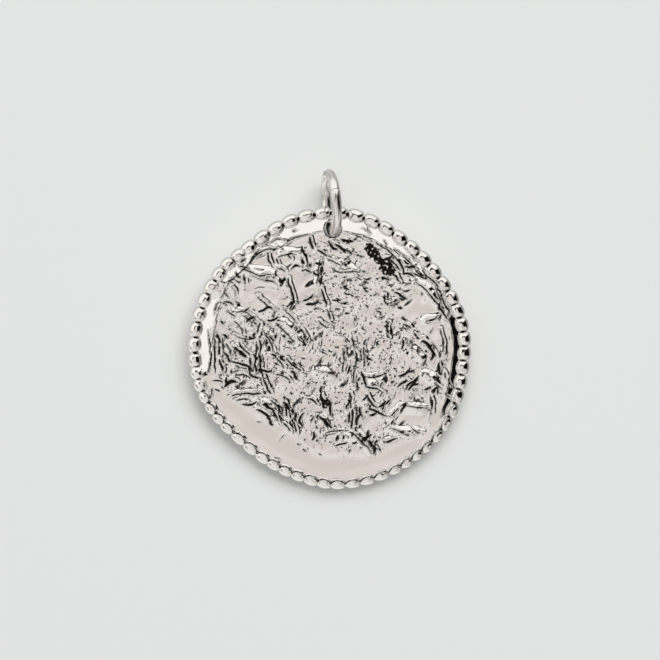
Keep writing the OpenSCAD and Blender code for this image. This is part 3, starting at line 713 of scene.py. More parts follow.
def field(layout, x, y):
    """Height of the face at the points x, y, and how inked (oxide, and a painted dark reflection
    where the slope bends), grainy and pitted it is.
    """
    g = layout.grow
    r, a = np.hypot(x, y), np.degrees(np.arctan2(y, x)) % 360
    beyond = r - g * around(BORDER, a)
    border = ease(beyond / BORDER_BLEND + 0.5)
    relief = GROUND_SWELL * wander(x, y, 33, 2)
    uneven = wander(x, y, 31, 4)
    for rise, px, py, lead in RIPPLES:
        wave = np.sin(np.radians(lead + 360 * (x / px + y / py)) + uneven)
        relief += RIPPLE_SHARE * rise * wave
    relief *= ease(-beyond / RIPPLE_FADE)
    # hand work is never straight: all lines are read at points that wander a little
    wx, wy = x.copy(), y.copy()
    for seed, (way, pitch) in enumerate(HAND, 1):
        wx += way * wander(x, y, seed, pitch)
        wy += way * wander(x, y, seed + len(HAND), pitch)
    for line in FOLDS:
        i = near(wx, wy, line, line[5])
        d, t = along(wx[i], wy[i], line, g)
        share = 1 if line[6] > 0 else GROOVE_SHARE
        share = share * (FOLD_END + (1 - FOLD_END) * np.sqrt(np.clip(4 * t * (1 - t), 0, 1)))
        # no fold is equally high all the way
        share *= 0.9 + 0.15 * wander(wx[i], wy[i], 9, 0.9)
        relief[i] += share * line[6] * np.clip(1 - (d / line[5]) ** 2, 0, 1) ** 2
    relief *= layout.fold_gain
    cut, ink = np.zeros_like(x), np.zeros_like(x)
    inside = 1 - border
    all_over = np.ones_like(x)
    # with each mark, the shares of its width, lip and ink, and where it may lie
    marks = [(line, CREASE_SHARE, LIP_SHARE, INK_SHARE, inside) for line in CREASES]
    marks += [(line, 1, 0, STROKE_INK, inside) for line in short_strokes(layout)]
    marks += [
        (line, CREASE_SHARE, BORDER_LIP_SHARE, INK_SHARE, all_over) for line in BORDER_MARKS
    ]
    for line, width_share, lip_share, ink_share, share in marks:
        half, depth = width_share * line[5], line[6]
        lip = LIP_WIDTH + half
        i = near(wx, wy, line, half + max(INK_FADE, lip_share and lip + LIP_WIDTH))
        d, t = along(wx[i], wy[i], line, g)
        taper = 0.4 + 0.6 * np.sqrt(np.clip(4 * t * (1 - t), 0, 1))
        u = d / (max(half, 0.09) * taper)
        cut[i] -= share[i] * min(depth, CREASE_FALL * half) * np.clip(1 - u * u, 0, 1) ** 1.5
        # the metal that a deep stroke has pushed up on its left
        side = (line[2] - line[0]) * (wy[i] - line[1]) - (line[3] - line[1]) * (wx[i] - line[0])
        off = (d * np.sign(side) - lip) / LIP_WIDTH
        proud = np.clip(1 - off * off, 0, 1) ** 2 * np.sqrt(taper)
        cut[i] += share[i] * lip_share * depth * proud
        full = 0.6 + 0.4 * min(1, depth / 0.03)
        line_ink = 0.5 + (ink_share * half * taper - d) / (2 * INK_FADE)
        ink[i] = np.maximum(ink[i], share[i] * np.minimum(line_ink, full))
    for line in RIDGES:
        i = near(wx, wy, line, line[5])
        d, t = along(wx[i], wy[i], line, g)
        taper = np.clip(4 * t * (1 - t), 0, 1) ** 0.3
        cut[i] += inside[i] * taper * line[6] * np.clip(1 - (d / line[5]) ** 2, 0, 1) ** 2
    cut = np.clip(cut, *CUT_RANGE) * layout.crease_gain
    # the slope's bend gets a painted dark reflection, a black line laid in with the oxide
    drop, limit_painted_reflection = band_fall(layout, r, a)
    ink = np.maximum(ink, limit_painted_reflection * (0.75 + 0.25 * wander(x, y, 6, 1.7)))
    swell = FACE_SWELL * wander(x, y, 5, 3.4)
    drop += around(BORDER_FALL, a) * np.maximum(0, beyond)
    z = layout.disc_t + relief * inside + cut + BORDER_LIP * border + swell - drop
    bare = in_spots(x, y, SMOOTH_SPOTS)
    grain = inside * (1 - 0.92 * bare) * (1 + 0.15 * in_spots(x, y, FINE_SPOTS))
    pitted = 1.7 * in_spots(x, y, PITTED_SPOTS) * inside - 0.7
    return z, np.clip(ink, 0, 1), grain, pitted


# The medallion


def bead_columns(layout):
    """Each column's direction in degrees, and the section of the beaded edge there."""
    n = len(layout.steps)
    r, nxt = layout.bead_r, np.roll(layout.bead_r, -1)
    gap = layout.bead_a + layout.steps * r / (r + nxt)  # between a bead and the next
    start = np.roll(gap, 1)
    start[0] -= 360
    j = np.arange(COLUMNS)
    s = 0.5 * (-np.cos(np.pi * j / COLUMNS)) + 0.5 * (2 * j / COLUMNS - 1)
    before = (layout.bead_a - start)[:, None]
    after = (gap - layout.bead_a)[:, None]
    a = (layout.bead_a[:, None] + np.where(s < 0, before * s, after * s)).ravel()
    bead = np.repeat(np.arange(n), COLUMNS)
    radius = layout.bead_r[bead]
    middle = layout.edge_r(layout.bead_a % 360)[bead] - radius
    across = np.radians(a - layout.bead_a[bead]) * middle
    # both are 1 on the middle line of a bead and near 0 between two
    part = np.clip(1 - np.abs(across / (1.02 * radius)) ** BEAD_SQUARE, 0, 1) ** (1 / BEAD_SQUARE)
    plan = np.sqrt(np.clip(1 - (across / (1.04 * radius)) ** 2, 0, 1))
    rng = random.Random(11)
    stand = np.array([rng.uniform(-0.03, 0.03) for _ in range(n)])[bead]
    lean = np.array([rng.uniform(-BEAD_LEAN, BEAD_LEAN) for _ in range(n)])[bead]
    edge = layout.edge_r(a % 360)
    section = {
        "foot_r": (
            edge - BEAD_LONG + around(BEAD_SHORT, a % 360) + BEAD_SCALLOP * (1 - plan)
        ),
        "side_r": edge - BEAD_NOTCH * (1 - plan),
        "side_z": np.full_like(a, layout.bead_z),
        "top_z": BEAD_WEB + (BEAD_TOP - BEAD_WEB + stand) * part,
        "crest": around(BEAD_CREST, a % 360) + lean * part,
        "foot_ink": around(FOOT_INK, a % 360),
        "arc_painted_reflection": around(ARC_PAINTED_REFLECTION, a % 360),
        "arc_at": ARC_AT + ARC_BOW * (1 - plan),
        "gap_ink": around(GAP_INK, a % 360) * np.clip((0.62 - plan) / 0.3, 0, 1),
    }
    return a, section


def bead_row(sec, foot_z, share):
    """Radius and height of the beaded edge at a share of the way over the beads."""
    c, s = -math.cos(math.pi * share), math.sin(math.pi * share)
    out = math.copysign(abs(c) ** (2 / BEAD_SQUARE), c)
    out -= sec["crest"] * (1 - out * out)
    middle, half = (sec["foot_r"] + sec["side_r"]) / 2, (sec["side_r"] - sec["foot_r"]) / 2
    base = foot_z if share < 0.5 else sec["side_z"]
    return middle + half * out, base + (sec["top_z"] - base) * abs(s) ** (2 / BEAD_SQUARE)


def bent_grid(bm, column_a):
    """Where the points of bm's square grid go on a disc of radius 1: their radii, directions
    in degrees, columns, and shares of the way to the next column."""
    count = len(column_a)
    flat = np.array([v.co[:2] for v in bm.verts])
    # rings of squares become rings round the middle
    u, v = flat[:, 0], flat[:, 1]
    wide = np.abs(u) > np.abs(v)
    r = np.maximum(np.abs(u), np.abs(v))
    with np.errstate(divide="ignore", invalid="ignore"):
        a = np.where(wide, 45 * v / u, 90 - 45 * u / v)
    a = np.nan_to_num(a) + np.where(np.where(wide, u < 0, v < 0), 180, 0)
    # turned a little, so that the outermost columns stand at the beads' columns
    pitch = 360 / count
    even = np.arange(count) * pitch - 45
    first = int(np.argmin(np.abs(even - column_a[0])))
    order = np.arange(count) + first
    target = np.empty(count)
    target[order % count] = column_a + np.where(order >= count, -360, 0)
    shift = (target - even + 180) % 360 - 180
    place = ((a + 45) % 360) / pitch
    low = np.floor(place + 1e-6).astype(int) % count
    part = np.clip(place - np.floor(place + 1e-6), 0, 1)
    turn = shift[low] * (1 - part) + shift[(low + 1) % count] * part
    return r, a + turn * r**2, (low - first) % count, part


def lay_face(bm, layout, column_a, sec):
    """Makes the face, from its middle to the feet of the beads. Gives the feet's heights."""
    count = len(column_a)
    bmesh.ops.create_grid(bm, x_segments=GRID, y_segments=GRID, size=1)
    r, a, column, part = bent_grid(bm, column_a)
    foot_r = sec["foot_r"][column] * (1 - part) + sec["foot_r"][(column + 1) % count] * part
    plain = layout.edge_r(a % 360) - BEAD_LONG + around(BEAD_SHORT, a % 360)
    # the face follows the scallops of the feet only in its last rings
    mix = ease((r - 0.96) / 0.04)
    out = r * (plain * (1 - mix) + foot_r * mix)
    x, y = out * np.cos(np.radians(a)), out * np.sin(np.radians(a))
    z, dark, grain, pitted = field(layout, x, y)
    ink = sec["foot_ink"][column] * np.clip(1.4 - (foot_r - out) / FOOT_INK_W, 0, 1)
    dark = np.maximum(dark, ink)
    rim = r > 1 - 1e-6
    dark_layer, grain_layer, pitted_layer = (bm.verts.layers.float[name] for name in MARKS)
    column_layer = bm.verts.layers.int["column"]
    for i, vert in enumerate(bm.verts):
        vert.co = (x[i], y[i], z[i])
        vert[dark_layer], vert[grain_layer], vert[pitted_layer] = dark[i], grain[i], pitted[i]
        vert[column_layer] = int(column[i]) if rim[i] else -1
    foot_z = np.zeros(count)
    foot_z[column[rim]] = z[rim]
    return foot_z


def bead_rows(layout, column_a, sec, foot_z):
    """Rows of points over the beads and down to the back, as radii, heights and oxide, with a
    painted dark reflection over some beads.
    """
    cos_a, sin_a = np.cos(np.radians(column_a)), np.sin(np.radians(column_a))
    back_r = layout.wall_r(column_a % 360) - BACK_EASE
    none = np.zeros(len(column_a))
    for share in BEAD_ROWS:
        foot = sec["foot_ink"] * np.clip(1.6 - share / 0.15, 0, 1)
        gap = sec["gap_ink"] * np.clip(3 - 4 * share, 0, 1)
        # a painted dark reflection: a black line over the bead, laid in with the oxide
        arc = sec["arc_painted_reflection"] * np.clip(1.6 - np.abs(share - sec["arc_at"]) / ARC_W, 0, 1)
        row_r, row_z = bead_row(sec, foot_z, share)
        dent = wander(row_r * cos_a, row_r * sin_a, 21, BEAD_DENT_PITCH)
        row_z += BEAD_DENT * math.sin(math.pi * share) * dent
        yield row_r, row_z, np.maximum(np.maximum(foot, gap), arc)
    for turn in np.radians(BEAD_UNDER):
        under_r = back_r + (sec["side_r"] - back_r) * np.cos(turn)
        yield under_r, sec["side_z"] * (1 - np.sin(turn)), none
    yield back_r, none, none


def build_medallion(layout):
    """The casting as one closed shell, in millimetres, seen from the disc."""
    column_a, sec = bead_columns(layout)
    cos_a, sin_a = np.cos(np.radians(column_a)), np.sin(np.radians(column_a))
    bm = bmesh.new()
    dark_layer, grain_layer, pitted_layer = [bm.verts.layers.float.new(name) for name in MARKS]
    column_layer = bm.verts.layers.int.new("column")
    foot_z = lay_face(bm, layout, column_a, sec)
    edges = [e for e in bm.edges if e.is_boundary]
    for row_r, row_z, row_oxide_and_painted_reflection in bead_rows(layout, column_a, sec, foot_z):
        made = bmesh.ops.extrude_edge_only(bm, edges=edges)["geom"]
        edges = [e for e in made if isinstance(e, bmesh.types.BMEdge) and e.is_boundary]
        for vert in {v for e in edges for v in e.verts}:
            c = vert[column_layer]
            vert.co = (row_r[c] * cos_a[c], row_r[c] * sin_a[c], row_z[c])
            vert[dark_layer], vert[grain_layer], vert[pitted_layer] = row_oxide_and_painted_reflection[c], 0, -1
    bmesh.ops.contextual_create(bm, geom=edges)
    bmesh.ops.recalc_face_normals(bm, faces=bm.faces)
    return bm


def hole_cutter(layout):
    """A turned plug that widens at both faces, so that the hole's edges are eased."""
    bm = bmesh.new()
    r = layout.hole_d / 2
    top = layout.disc_t + 2 * HOLE_EASE
    # (radius, height), from below the back to above the face
    profile = [
        (0, -0.5), (r + HOLE_EASE, -0.5), (r + HOLE_EASE, -0.02), (r + 0.04, 0.05),
        (r, HOLE_EASE), (r, top - 1.6 * HOLE_EASE), (r + 0.03, top - 0.8 * HOLE_EASE),
        (r + 0.09, top),
        (r + 2 * HOLE_EASE, top + 0.6 * HOLE_EASE), (r + 2 * HOLE_EASE, top + 0.6),
        (0, top + 0.6),
    ]
    verts = [bm.verts.new((layout.hole_x + pr, layout.hole_y, pz)) for pr, pz in profile]
    edges = [bm.edges.new(pair) for pair in zip(verts, verts[1:])]
    bmesh.ops.spin(
        bm, geom=verts + edges, cent=(layout.hole_x, layout.hole_y, 0), axis=(0, 0, 1),
        angle=2 * math.pi, steps=72, use_merge=True,
    )
    bmesh.ops.remove_doubles(bm, verts=bm.verts, dist=1e-5)
    bmesh.ops.recalc_face_normals(bm, faces=bm.faces)
    return bm


def placed(bm, name, place):
    """An object at the origin whose mesh is the shape, moved to its place."""
    bmesh.ops.transform(bm, matrix=place, verts=bm.verts)
    for face in bm.faces:
        face.smooth = True
    mesh = bpy.data.meshes.new(name)
    bm.to_mesh(mesh)
    bm.free()
    made = bpy.data.objects.new(name, mesh)
    bpy.context.scene.collection.objects.link(made)
    return made


def drilled(body, cutter):
    """body with cutter taken away, for good."""
    cut = body.modifiers.new("hole", "BOOLEAN")
    cut.operation = "DIFFERENCE"
    cut.solver = "EXACT"
    cut.object = cutter
    graph = bpy.context.evaluated_depsgraph_get()
    mesh = bpy.data.meshes.new_from_object(body.evaluated_get(graph))
    body.modifiers.clear()
    old, body.data = body.data, mesh
    bpy.data.meshes.remove(old)
    bpy.data.objects.remove(cutter)
    return body


def paint_shade_in_hole(mesh, layout):
    """Painted shade: the hole's wall and edge are made black, for the shadow under the disc seen
    through the hole.
    """
    back = layout.rest.inverted()
    dark = mesh.attributes["dark"].data
    for vert in mesh.vertices:
        x, y, z = back @ vert.co
        from_axis = math.hypot(x - layout.hole_x, y - layout.hole_y)
        if from_axis < layout.hole_d / 2 + 0.05 and z < layout.disc_t + 0.02:
            dark[vert.index].value = 1


class PENDANT_OT_medallion(bpy.types.Operator):
    """Cast disc with its relief, beaded edge and hole"""

    bl_idname = "pendant.medallion"
    bl_label = "Medallion"

    def execute(self, context):
        layout = Layout(context.scene.pendant_sizes)
        body = placed(build_medallion(layout), "cast_medallion", layout.rest)
        drilled(body, placed(hole_cutter(layout), "plug", layout.rest))
        # painted shade: black inside and round the hole
        paint_shade_in_hole(body.data, layout)
        body.data.materials.clear()
        body.data.materials.append(polished_cast_silver(context.scene.pendant_finish))
        body.data.set_sharp_from_angle(angle=math.radians(70))
        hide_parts("medallion")
        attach(body, "root")
        return {"FINISHED"}


# The jump ring


def build_ring(layout):
    """Round wire bent to a ring, its two ends butted, in its own plane."""
    bm = bmesh.new()
    opening = layout.seam_gap / layout.ring_r
    bmesh.ops.create_circle(
        bm, segments=28, radius=layout.wire_r,
        matrix=Matrix.Translation((layout.ring_r, 0, 0)) @ Matrix.Rotation(math.pi / 2, 4, "X"),
    )
    edges = list(bm.edges)
    bmesh.ops.spin(
        bm, geom=list(bm.verts) + edges, cent=(0, 0, 0), axis=(0, 0, 1),
        angle=2 * math.pi - opening, steps=110, use_merge=False,
    )
    bmesh.ops.remove_doubles(bm, verts=bm.verts, dist=1e-5)
    bmesh.ops.holes_fill(bm, edges=[e for e in bm.edges if e.is_boundary], sides=0)
    # round the wire and along it, for the lines that the die draws
    drawn = bm.verts.layers.float_vector.new("drawn")
    for vert in bm.verts:
        x, y, z = vert.co
        way = math.atan2(z, math.hypot(x, y) - layout.ring_r)
        along_wire = layout.ring_r * math.atan2(y, x)
        round_wire = layout.wire_r * math.cos(way), layout.wire_r * math.sin(way)
        vert[drawn] = (round_wire[0] * MM, round_wire[1] * MM, along_wire * MM)
    ends = [f for f in bm.faces if len(f.verts) > 4]
    bmesh.ops.bevel(
        bm, geom=list(dict.fromkeys(e for f in ends for e in f.edges)), offset=END_EASE,
        offset_type="OFFSET", affect="EDGES", segments=2, profile=0.5, material=-1,
    )
    # the pliers leave the ends a little proud of each other and the wire not quite even
    for vert in bm.verts:
        x, y, z = vert.co
        turn = math.atan2(y, x) % (2 * math.pi)
        from_end = min(turn, 2 * math.pi - turn)
        side = 1 if turn < math.pi else -1
        push = END_PROUD * math.exp(-((from_end / END_REACH) ** 2)) * side
        sway = WIRE_SWAY * math.sin(3 * turn + 0.6)
        scale = 1 + (push + sway) / layout.ring_r
        vert.co = (x * scale, y * scale, z + WIRE_SWAY * math.sin(2 * turn))
    bmesh.ops.recalc_face_normals(bm, faces=bm.faces)
    return bm


class PENDANT_OT_jump_ring(bpy.types.Operator):
    """Jump ring of round wire through the hole"""

    bl_idname = "pendant.jump_ring"
    bl_label = "Jump ring"

    def execute(self, context):
        layout = Layout(context.scene.pendant_sizes)
        opening = layout.seam_gap / layout.ring_r
        place = (
            layout.rest
            @ Matrix.Translation((layout.ring_x, layout.ring_y, layout.ring_z))
            @ Matrix.Rotation(layout.ring_turn, 4, "Z")
            @ Matrix.Rotation(layout.ring_lean, 4, "Y")
            @ Matrix.Rotation(math.pi / 2, 4, "Z")
            @ Matrix.Rotation(math.pi / 2, 4, "X")
            @ Matrix.Rotation(layout.seam_at + opening / 2, 4, "Z")
        )
        ring = placed(build_ring(layout), "bent_ring", place)
        ring.data.materials.append(drawn_silver_wire(context.scene.pendant_finish))
        ring.data.set_sharp_from_angle(angle=math.radians(50))
        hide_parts("jump_ring")
        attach(ring, "root")
        return {"FINISHED"}


# Finishes


def casting_grain(tree, finish, coord, grain):
    """Grain and fine scores of a casting. Gives the nodes of the grain, of the scores and of
    how dark both are."""
    # grain of the casting, which also makes the edges of the oxide ragged
    fine = node(
        tree, "ShaderNodeTexNoise",
        {"Scale": 1 / (finish.grain_mm * MM), "Detail": 2, "Roughness": 0.6},
        {"Vector": coord.outputs["Object"]},
    )
    # there are more specks where the surface is grainy
    grainy = node(
        tree, "ShaderNodeMath", {"operation": "MULTIPLY_ADD", 1: -0.05},
        {0: grain.outputs["Fac"], 2: fine.outputs["Fac"]},
    )
    specks = node(
        tree, "ShaderNodeMapRange", {"From Min": 0.33, "From Max": 0.31, "To Max": 0.95},
        {"Value": grainy.outputs[0]},
    )
    # fine scores, level in the upper part of the face and upright below
    place = node(tree, "ShaderNodeSeparateXYZ", None, {"Vector": coord.outputs["Object"]})
    upper = node(
        tree, "ShaderNodeMapRange", {"From Min": 0.5 * MM, "From Max": 2.5 * MM},
        {"Value": place.outputs["Y"]},
    )
    scores = []
    for way, pitch in ((-20, 0.24), (80, 0.22)):
        run = node(
            tree, "ShaderNodeMapping",
            {
                "vector_type": "TEXTURE", "Rotation": (0, 0, math.radians(way)),
                "Scale": (4.5, 1, 1),
            },
            {"Vector": coord.outputs["Object"]},
        )
        noise = node(
            tree, "ShaderNodeTexNoise",
            {"Scale": 1 / (pitch * MM), "Detail": 2, "Roughness": 0.55, "Distortion": 0.5},
            {"Vector": run.outputs["Vector"]},
        )
        scores.append(noise.outputs["Fac"])
    score = node(
        tree, "ShaderNodeMix", {"data_type": "FLOAT"},
        {"Factor": upper.outputs["Result"], 2: scores[1], 3: scores[0]},
    )
    # the fine grain breaks the scores up
    broken = node(
        tree, "ShaderNodeMath", {"operation": "MULTIPLY_ADD", 1: 0.5},
        {0: grainy.outputs[0], 2: score.outputs[0]},
    )
    scored = node(
        tree, "ShaderNodeMapRange", {"From Min": 0.58, "From Max": 0.56, "To Max": 0.95},
        {"Value": broken.outputs[0]},
    )
    fine_marks = node(
        tree, "ShaderNodeMath", {"operation": "MAXIMUM"},
        {0: specks.outputs["Result"], 1: scored.outputs["Result"]},
    )
    speck_share = node(
        tree, "ShaderNodeMath", {"operation": "MULTIPLY", "use_clamp": True},
        {0: fine_marks.outputs[0], 1: grain.outputs["Fac"]},
    )
    return fine, score, speck_share


def polished_cast_silver(finish):
    """Cast silver, oxidised, polished and rhodium plated: the high places shine like a
    mirror, and the black of the oxide stays in the creases. The same black is painted shade in
    the hole and painted dark reflections on the beads and the border's slope."""
    mat = bpy.data.materials.new("polished_cast_silver")
    mat.use_nodes = True
    tree = mat.node_tree
    tree.nodes.clear()
    coord = node(tree, "ShaderNodeTexCoord")
    # dark holds the oxide, and also painted shade in the hole and painted dark reflections
    dark = node(tree, "ShaderNodeAttribute", {"attribute_name": "dark"})
    grain = node(tree, "ShaderNodeAttribute", {"attribute_name": "grain"})
    pitted = node(tree, "ShaderNodeAttribute", {"attribute_name": "pitted"})
    fine, score, speck_share = casting_grain(tree, finish, coord, grain)
    pit_edge = node(
        tree, "ShaderNodeMath", {"operation": "MULTIPLY_ADD", 1: -3.6, 2: 1.85},
        {0: fine.outputs["Fac"]},
    )
    pit_place = node(
        tree, "ShaderNodeMath", {"operation": "ADD"},
        {0: pitted.outputs["Fac"], 1: pit_edge.outputs[0]},
    )
    pits = node(
        tree, "ShaderNodeMapRange", {"From Min": 0.5, "From Max": 0.6},
        {"Value": pit_place.outputs[0]},
    )
    marks_and_pits = node(
        tree, "ShaderNodeMath", {"operation": "MAXIMUM"},
        {0: speck_share.outputs[0], 1: pits.outputs["Result"]},
    )
    # the edge of the oxide, and of the black painted for shade and dark reflections, is ragged,
    # and the metal stands up a little beside it
    ragged = node(
        tree, "ShaderNodeMath", {"operation": "MULTIPLY_ADD", 1: 0.4, 2: -0.2},
        {0: fine.outputs["Fac"]},
    )
    oxide_and_painted_dark_place = node(
        tree, "ShaderNodeMath", {"operation": "ADD"},
        {0: dark.outputs["Fac"], 1: ragged.outputs[0]},
    )
    oxide_and_painted_dark_edge = node(
        tree, "ShaderNodeMapRange", {"From Min": 0.46, "From Max": 0.54},
        {"Value": oxide_and_painted_dark_place.outputs[0]},
    )
    lip_out = node(
        tree, "ShaderNodeMapRange",
        {"interpolation_type": "SMOOTHSTEP", "From Min": 0.08, "From Max": 0.32},
        {"Value": oxide_and_painted_dark_place.outputs[0]},
    )
    lip_in = node(
        tree, "ShaderNodeMapRange",
        {"interpolation_type": "SMOOTHSTEP", "From Min": 0.55, "From Max": 0.36},
        {"Value": oxide_and_painted_dark_place.outputs[0]},
    )
    lip = node(
        tree, "ShaderNodeMath", {"operation": "MULTIPLY"},
        {0: lip_out.outputs["Result"], 1: lip_in.outputs["Result"]},
    )
    # painted shade and painted dark reflections come in here together with the oxide
    oxide = node(
        tree, "ShaderNodeMath", {"operation": "MAXIMUM", "use_clamp": True},
        {0: marks_and_pits.outputs[0], 1: oxide_and_painted_dark_edge.outputs["Result"]},
    )
    colour = node(
        tree, "ShaderNodeMix",
        {"data_type": "RGBA", 6: (*finish.silver, 1), 7: linear("17120e")},
        {"Factor": oxide.outputs[0]},
    )
    rough = node(
        tree, "ShaderNodeMapRange", {"To Min": finish.polish, "To Max": 0.6},
        {"Value": oxide.outputs[0]},
    )
    # the oxide, and the black painted for shade and dark reflections, is a dull black skin, no
    # mirror
    bare_metal = node(
        tree, "ShaderNodeMath", {"operation": "SUBTRACT", 0: 1}, {1: oxide.outputs[0]}
    )
    scored_height = node(
        tree, "ShaderNodeMath", {"operation": "ADD"},
        {0: fine.outputs["Fac"], 1: score.outputs[0]},
    )
    bump_height = node(
        tree, "ShaderNodeMath", {"operation": "MULTIPLY"},
        {0: scored_height.outputs[0], 1: grain.outputs["Fac"]},
    )
    lipped_height = node(
        tree, "ShaderNodeMath", {"operation": "MULTIPLY_ADD", 1: 4},
        {0: lip.outputs[0], 2: bump_height.outputs[0]},
    )
    bump = node(
        tree, "ShaderNodeBump", {"Strength": 1, "Distance": 0.011 * MM},
        {"Height": lipped_height.outputs[0]},
    )
    shader = node(
        tree, "ShaderNodeBsdfPrincipled", {"Specular IOR Level": 0.08},
        {
            "Base Color": colour.outputs[2], "Metallic": bare_metal.outputs[0],
            "Roughness": rough.outputs["Result"], "Normal": bump.outputs["Normal"],
        },
    )
    node(tree, "ShaderNodeOutputMaterial", None, {"Surface": shader.outputs["BSDF"]})
    return mat


def drawn_silver_wire(finish):
    """Silver wire, drawn and tumbled: bright, with lines from the die along it, some of them
    grey."""
    mat = bpy.data.materials.new("drawn_silver_wire")
    mat.use_nodes = True
    tree = mat.node_tree
    tree.nodes.clear()
    drawn = node(tree, "ShaderNodeAttribute", {"attribute_name": "drawn"})
    run = node(
        tree, "ShaderNodeMapping", {"vector_type": "TEXTURE", "Scale": (1, 1, 9)},
        {"Vector": drawn.outputs["Vector"]},
    )
    lines = node(
        tree, "ShaderNodeTexNoise", {"Scale": 1 / (0.2 * MM), "Detail": 2},
        {"Vector": run.outputs["Vector"]},
    )
    streak = node(
        tree, "ShaderNodeMapRange", {"From Min": 0.48, "From Max": 0.66, "To Max": 0.55},
        {"Value": lines.outputs["Fac"]},
    )
    colour = node(
        tree, "ShaderNodeMix",
        {"data_type": "RGBA", 6: (*finish.silver, 1), 7: linear("6b615b")},
        {"Factor": streak.outputs["Result"]},
    )
    rough = node(
        tree, "ShaderNodeMapRange",
        {"To Min": finish.polish + 0.04, "To Max": finish.polish + 0.2},
        {"Value": lines.outputs["Fac"]},
    )
    bump = node(
        tree, "ShaderNodeBump", {"Strength": 1, "Distance": 0.02 * MM},
        {"Height": lines.outputs["Fac"]},
    )
    shader = node(
        tree, "ShaderNodeBsdfPrincipled", {"Metallic": 1.0},
        {
            "Base Color": colour.outputs[2], "Roughness": rough.outputs["Result"],
            "Normal": bump.outputs["Normal"],
        },
    )
    node(tree, "ShaderNodeOutputMaterial", None, {"Surface": shader.outputs["BSDF"]})
    return mat


# The stage

CAMERA_LENS = 200  # mm, long, as such a thing is photographed
SENSOR = 36  # mm
VIEW_WIDTH = 58.5  # mm of the scene across the picture
DISC_RIGHT = 0.089  # mm from the picture's middle to the disc's
DISC_DOWN = 1.68
# The window that lights the floor, in metres, and the side from which the even light is
# stronger
WINDOW_AT = (0.65, 2.05, 2.3)
WINDOW_SIZE = (2.7, 1.95)
WINDOW_SIDE = (math.cos(math.radians(86)), math.sin(math.radians(86)), 0)
FLOOR_R = 1.5  # metres
FLOOR_DOWN = 0.02  # mm that the floor lies below the pendant


def mirrored_studio(tree, looking):
    """Colour of the studio that the polished metal mirrors, in the direction looking: a pale
    board above with a black gap round it, white panels to the back and left, black ones to
    the right, a grey post at the left and pale walls in front."""
    xyz = node(tree, "ShaderNodeSeparateXYZ", None, {"Vector": looking})
    x, y, z = (xyz.outputs[i] for i in range(3))
    flat_dir = node(tree, "ShaderNodeCombineXYZ", None, {"X": x, "Y": y})
    unit = node(
        tree, "ShaderNodeVectorMath", {"operation": "NORMALIZE"}, {0: flat_dir.outputs[0]}
    )

    def sector(towards, half, soft):
        """1 within half degrees of a direction, 0 outside."""
        t = math.radians(towards)
        dot = node(
            tree, "ShaderNodeVectorMath",
            {"operation": "DOT_PRODUCT", 1: (math.cos(t), math.sin(t), 0)},
            {0: unit.outputs[0]},
        )
        return node(
            tree, "ShaderNodeMapRange",
            {
                "interpolation_type": "SMOOTHSTEP",
                "From Min": math.cos(math.radians(half + soft)),
                "From Max": math.cos(math.radians(half - soft)),
            },
            {"Value": dot.outputs["Value"]},
        ).outputs["Result"]

    def from_top(angle, soft):
        """1 within angle degrees of straight up, 0 outside."""
        return node(
            tree, "ShaderNodeMapRange",
            {
                "interpolation_type": "SMOOTHSTEP",
                "From Min": math.cos(math.radians(angle + soft)),
                "From Max": math.cos(math.radians(angle - soft)),
            },
            {"Value": z},
        ).outputs["Result"]

    def painted(ground, *layers):
        """The ground with each layer laid over it by its share. Ground and layers are hex
        colours or what was painted before."""
        for layer, share in layers:
            sides = {6: ground, 7: layer}
            plain = {key: linear(side) for key, side in sides.items() if isinstance(side, str)}
            linked = {key: side for key, side in sides.items() if key not in plain}
            ground = node(
                tree, "ShaderNodeMix", {"data_type": "RGBA", **plain},
                {"Factor": share, **linked},
            ).outputs[2]
        return ground

    white, black = "fffef9", "0c0b0a"
    plain_walls = painted("e6e5e2", ("cecbc7", sector(312, 22, 8)))
    far_walls = painted(plain_walls, (white, sector(111, 71, 6)), (black, sector(8, 29, 5)))
    near_walls = painted(plain_walls, (white, sector(115, 75, 4)), (black, sector(3, 37, 5)))
    walls = painted(far_walls, (near_walls, from_top(46, 3)))
    with_post = painted(walls, ("a09b96", sector(204, 13, 6)))
    low_walls = painted(walls, (with_post, from_top(86, 3)), (walls, from_top(56, 3)))
    below = painted(
        "c4c5c1", ("d2d3cf", from_top(122, 8)), ("eeefeb", sector(262, 56, 12)),
        ("9c9c98", sector(350, 44, 12)),
    )
    room = painted(below, (low_walls, from_top(94, 6)))
    gap = painted(room, ("14120f", sector(100, 71, 6)))
    lamp_side = node(
        tree, "ShaderNodeMapRange", {"From Min": -0.11, "From Max": 0.4}, {"Value": y}
    )
    board = painted("d8d1cc", ("f4f1ee", lamp_side.outputs["Result"]))
    return painted(room, (gap, from_top(34, 1.5)), (board, from_top(20, 1)))


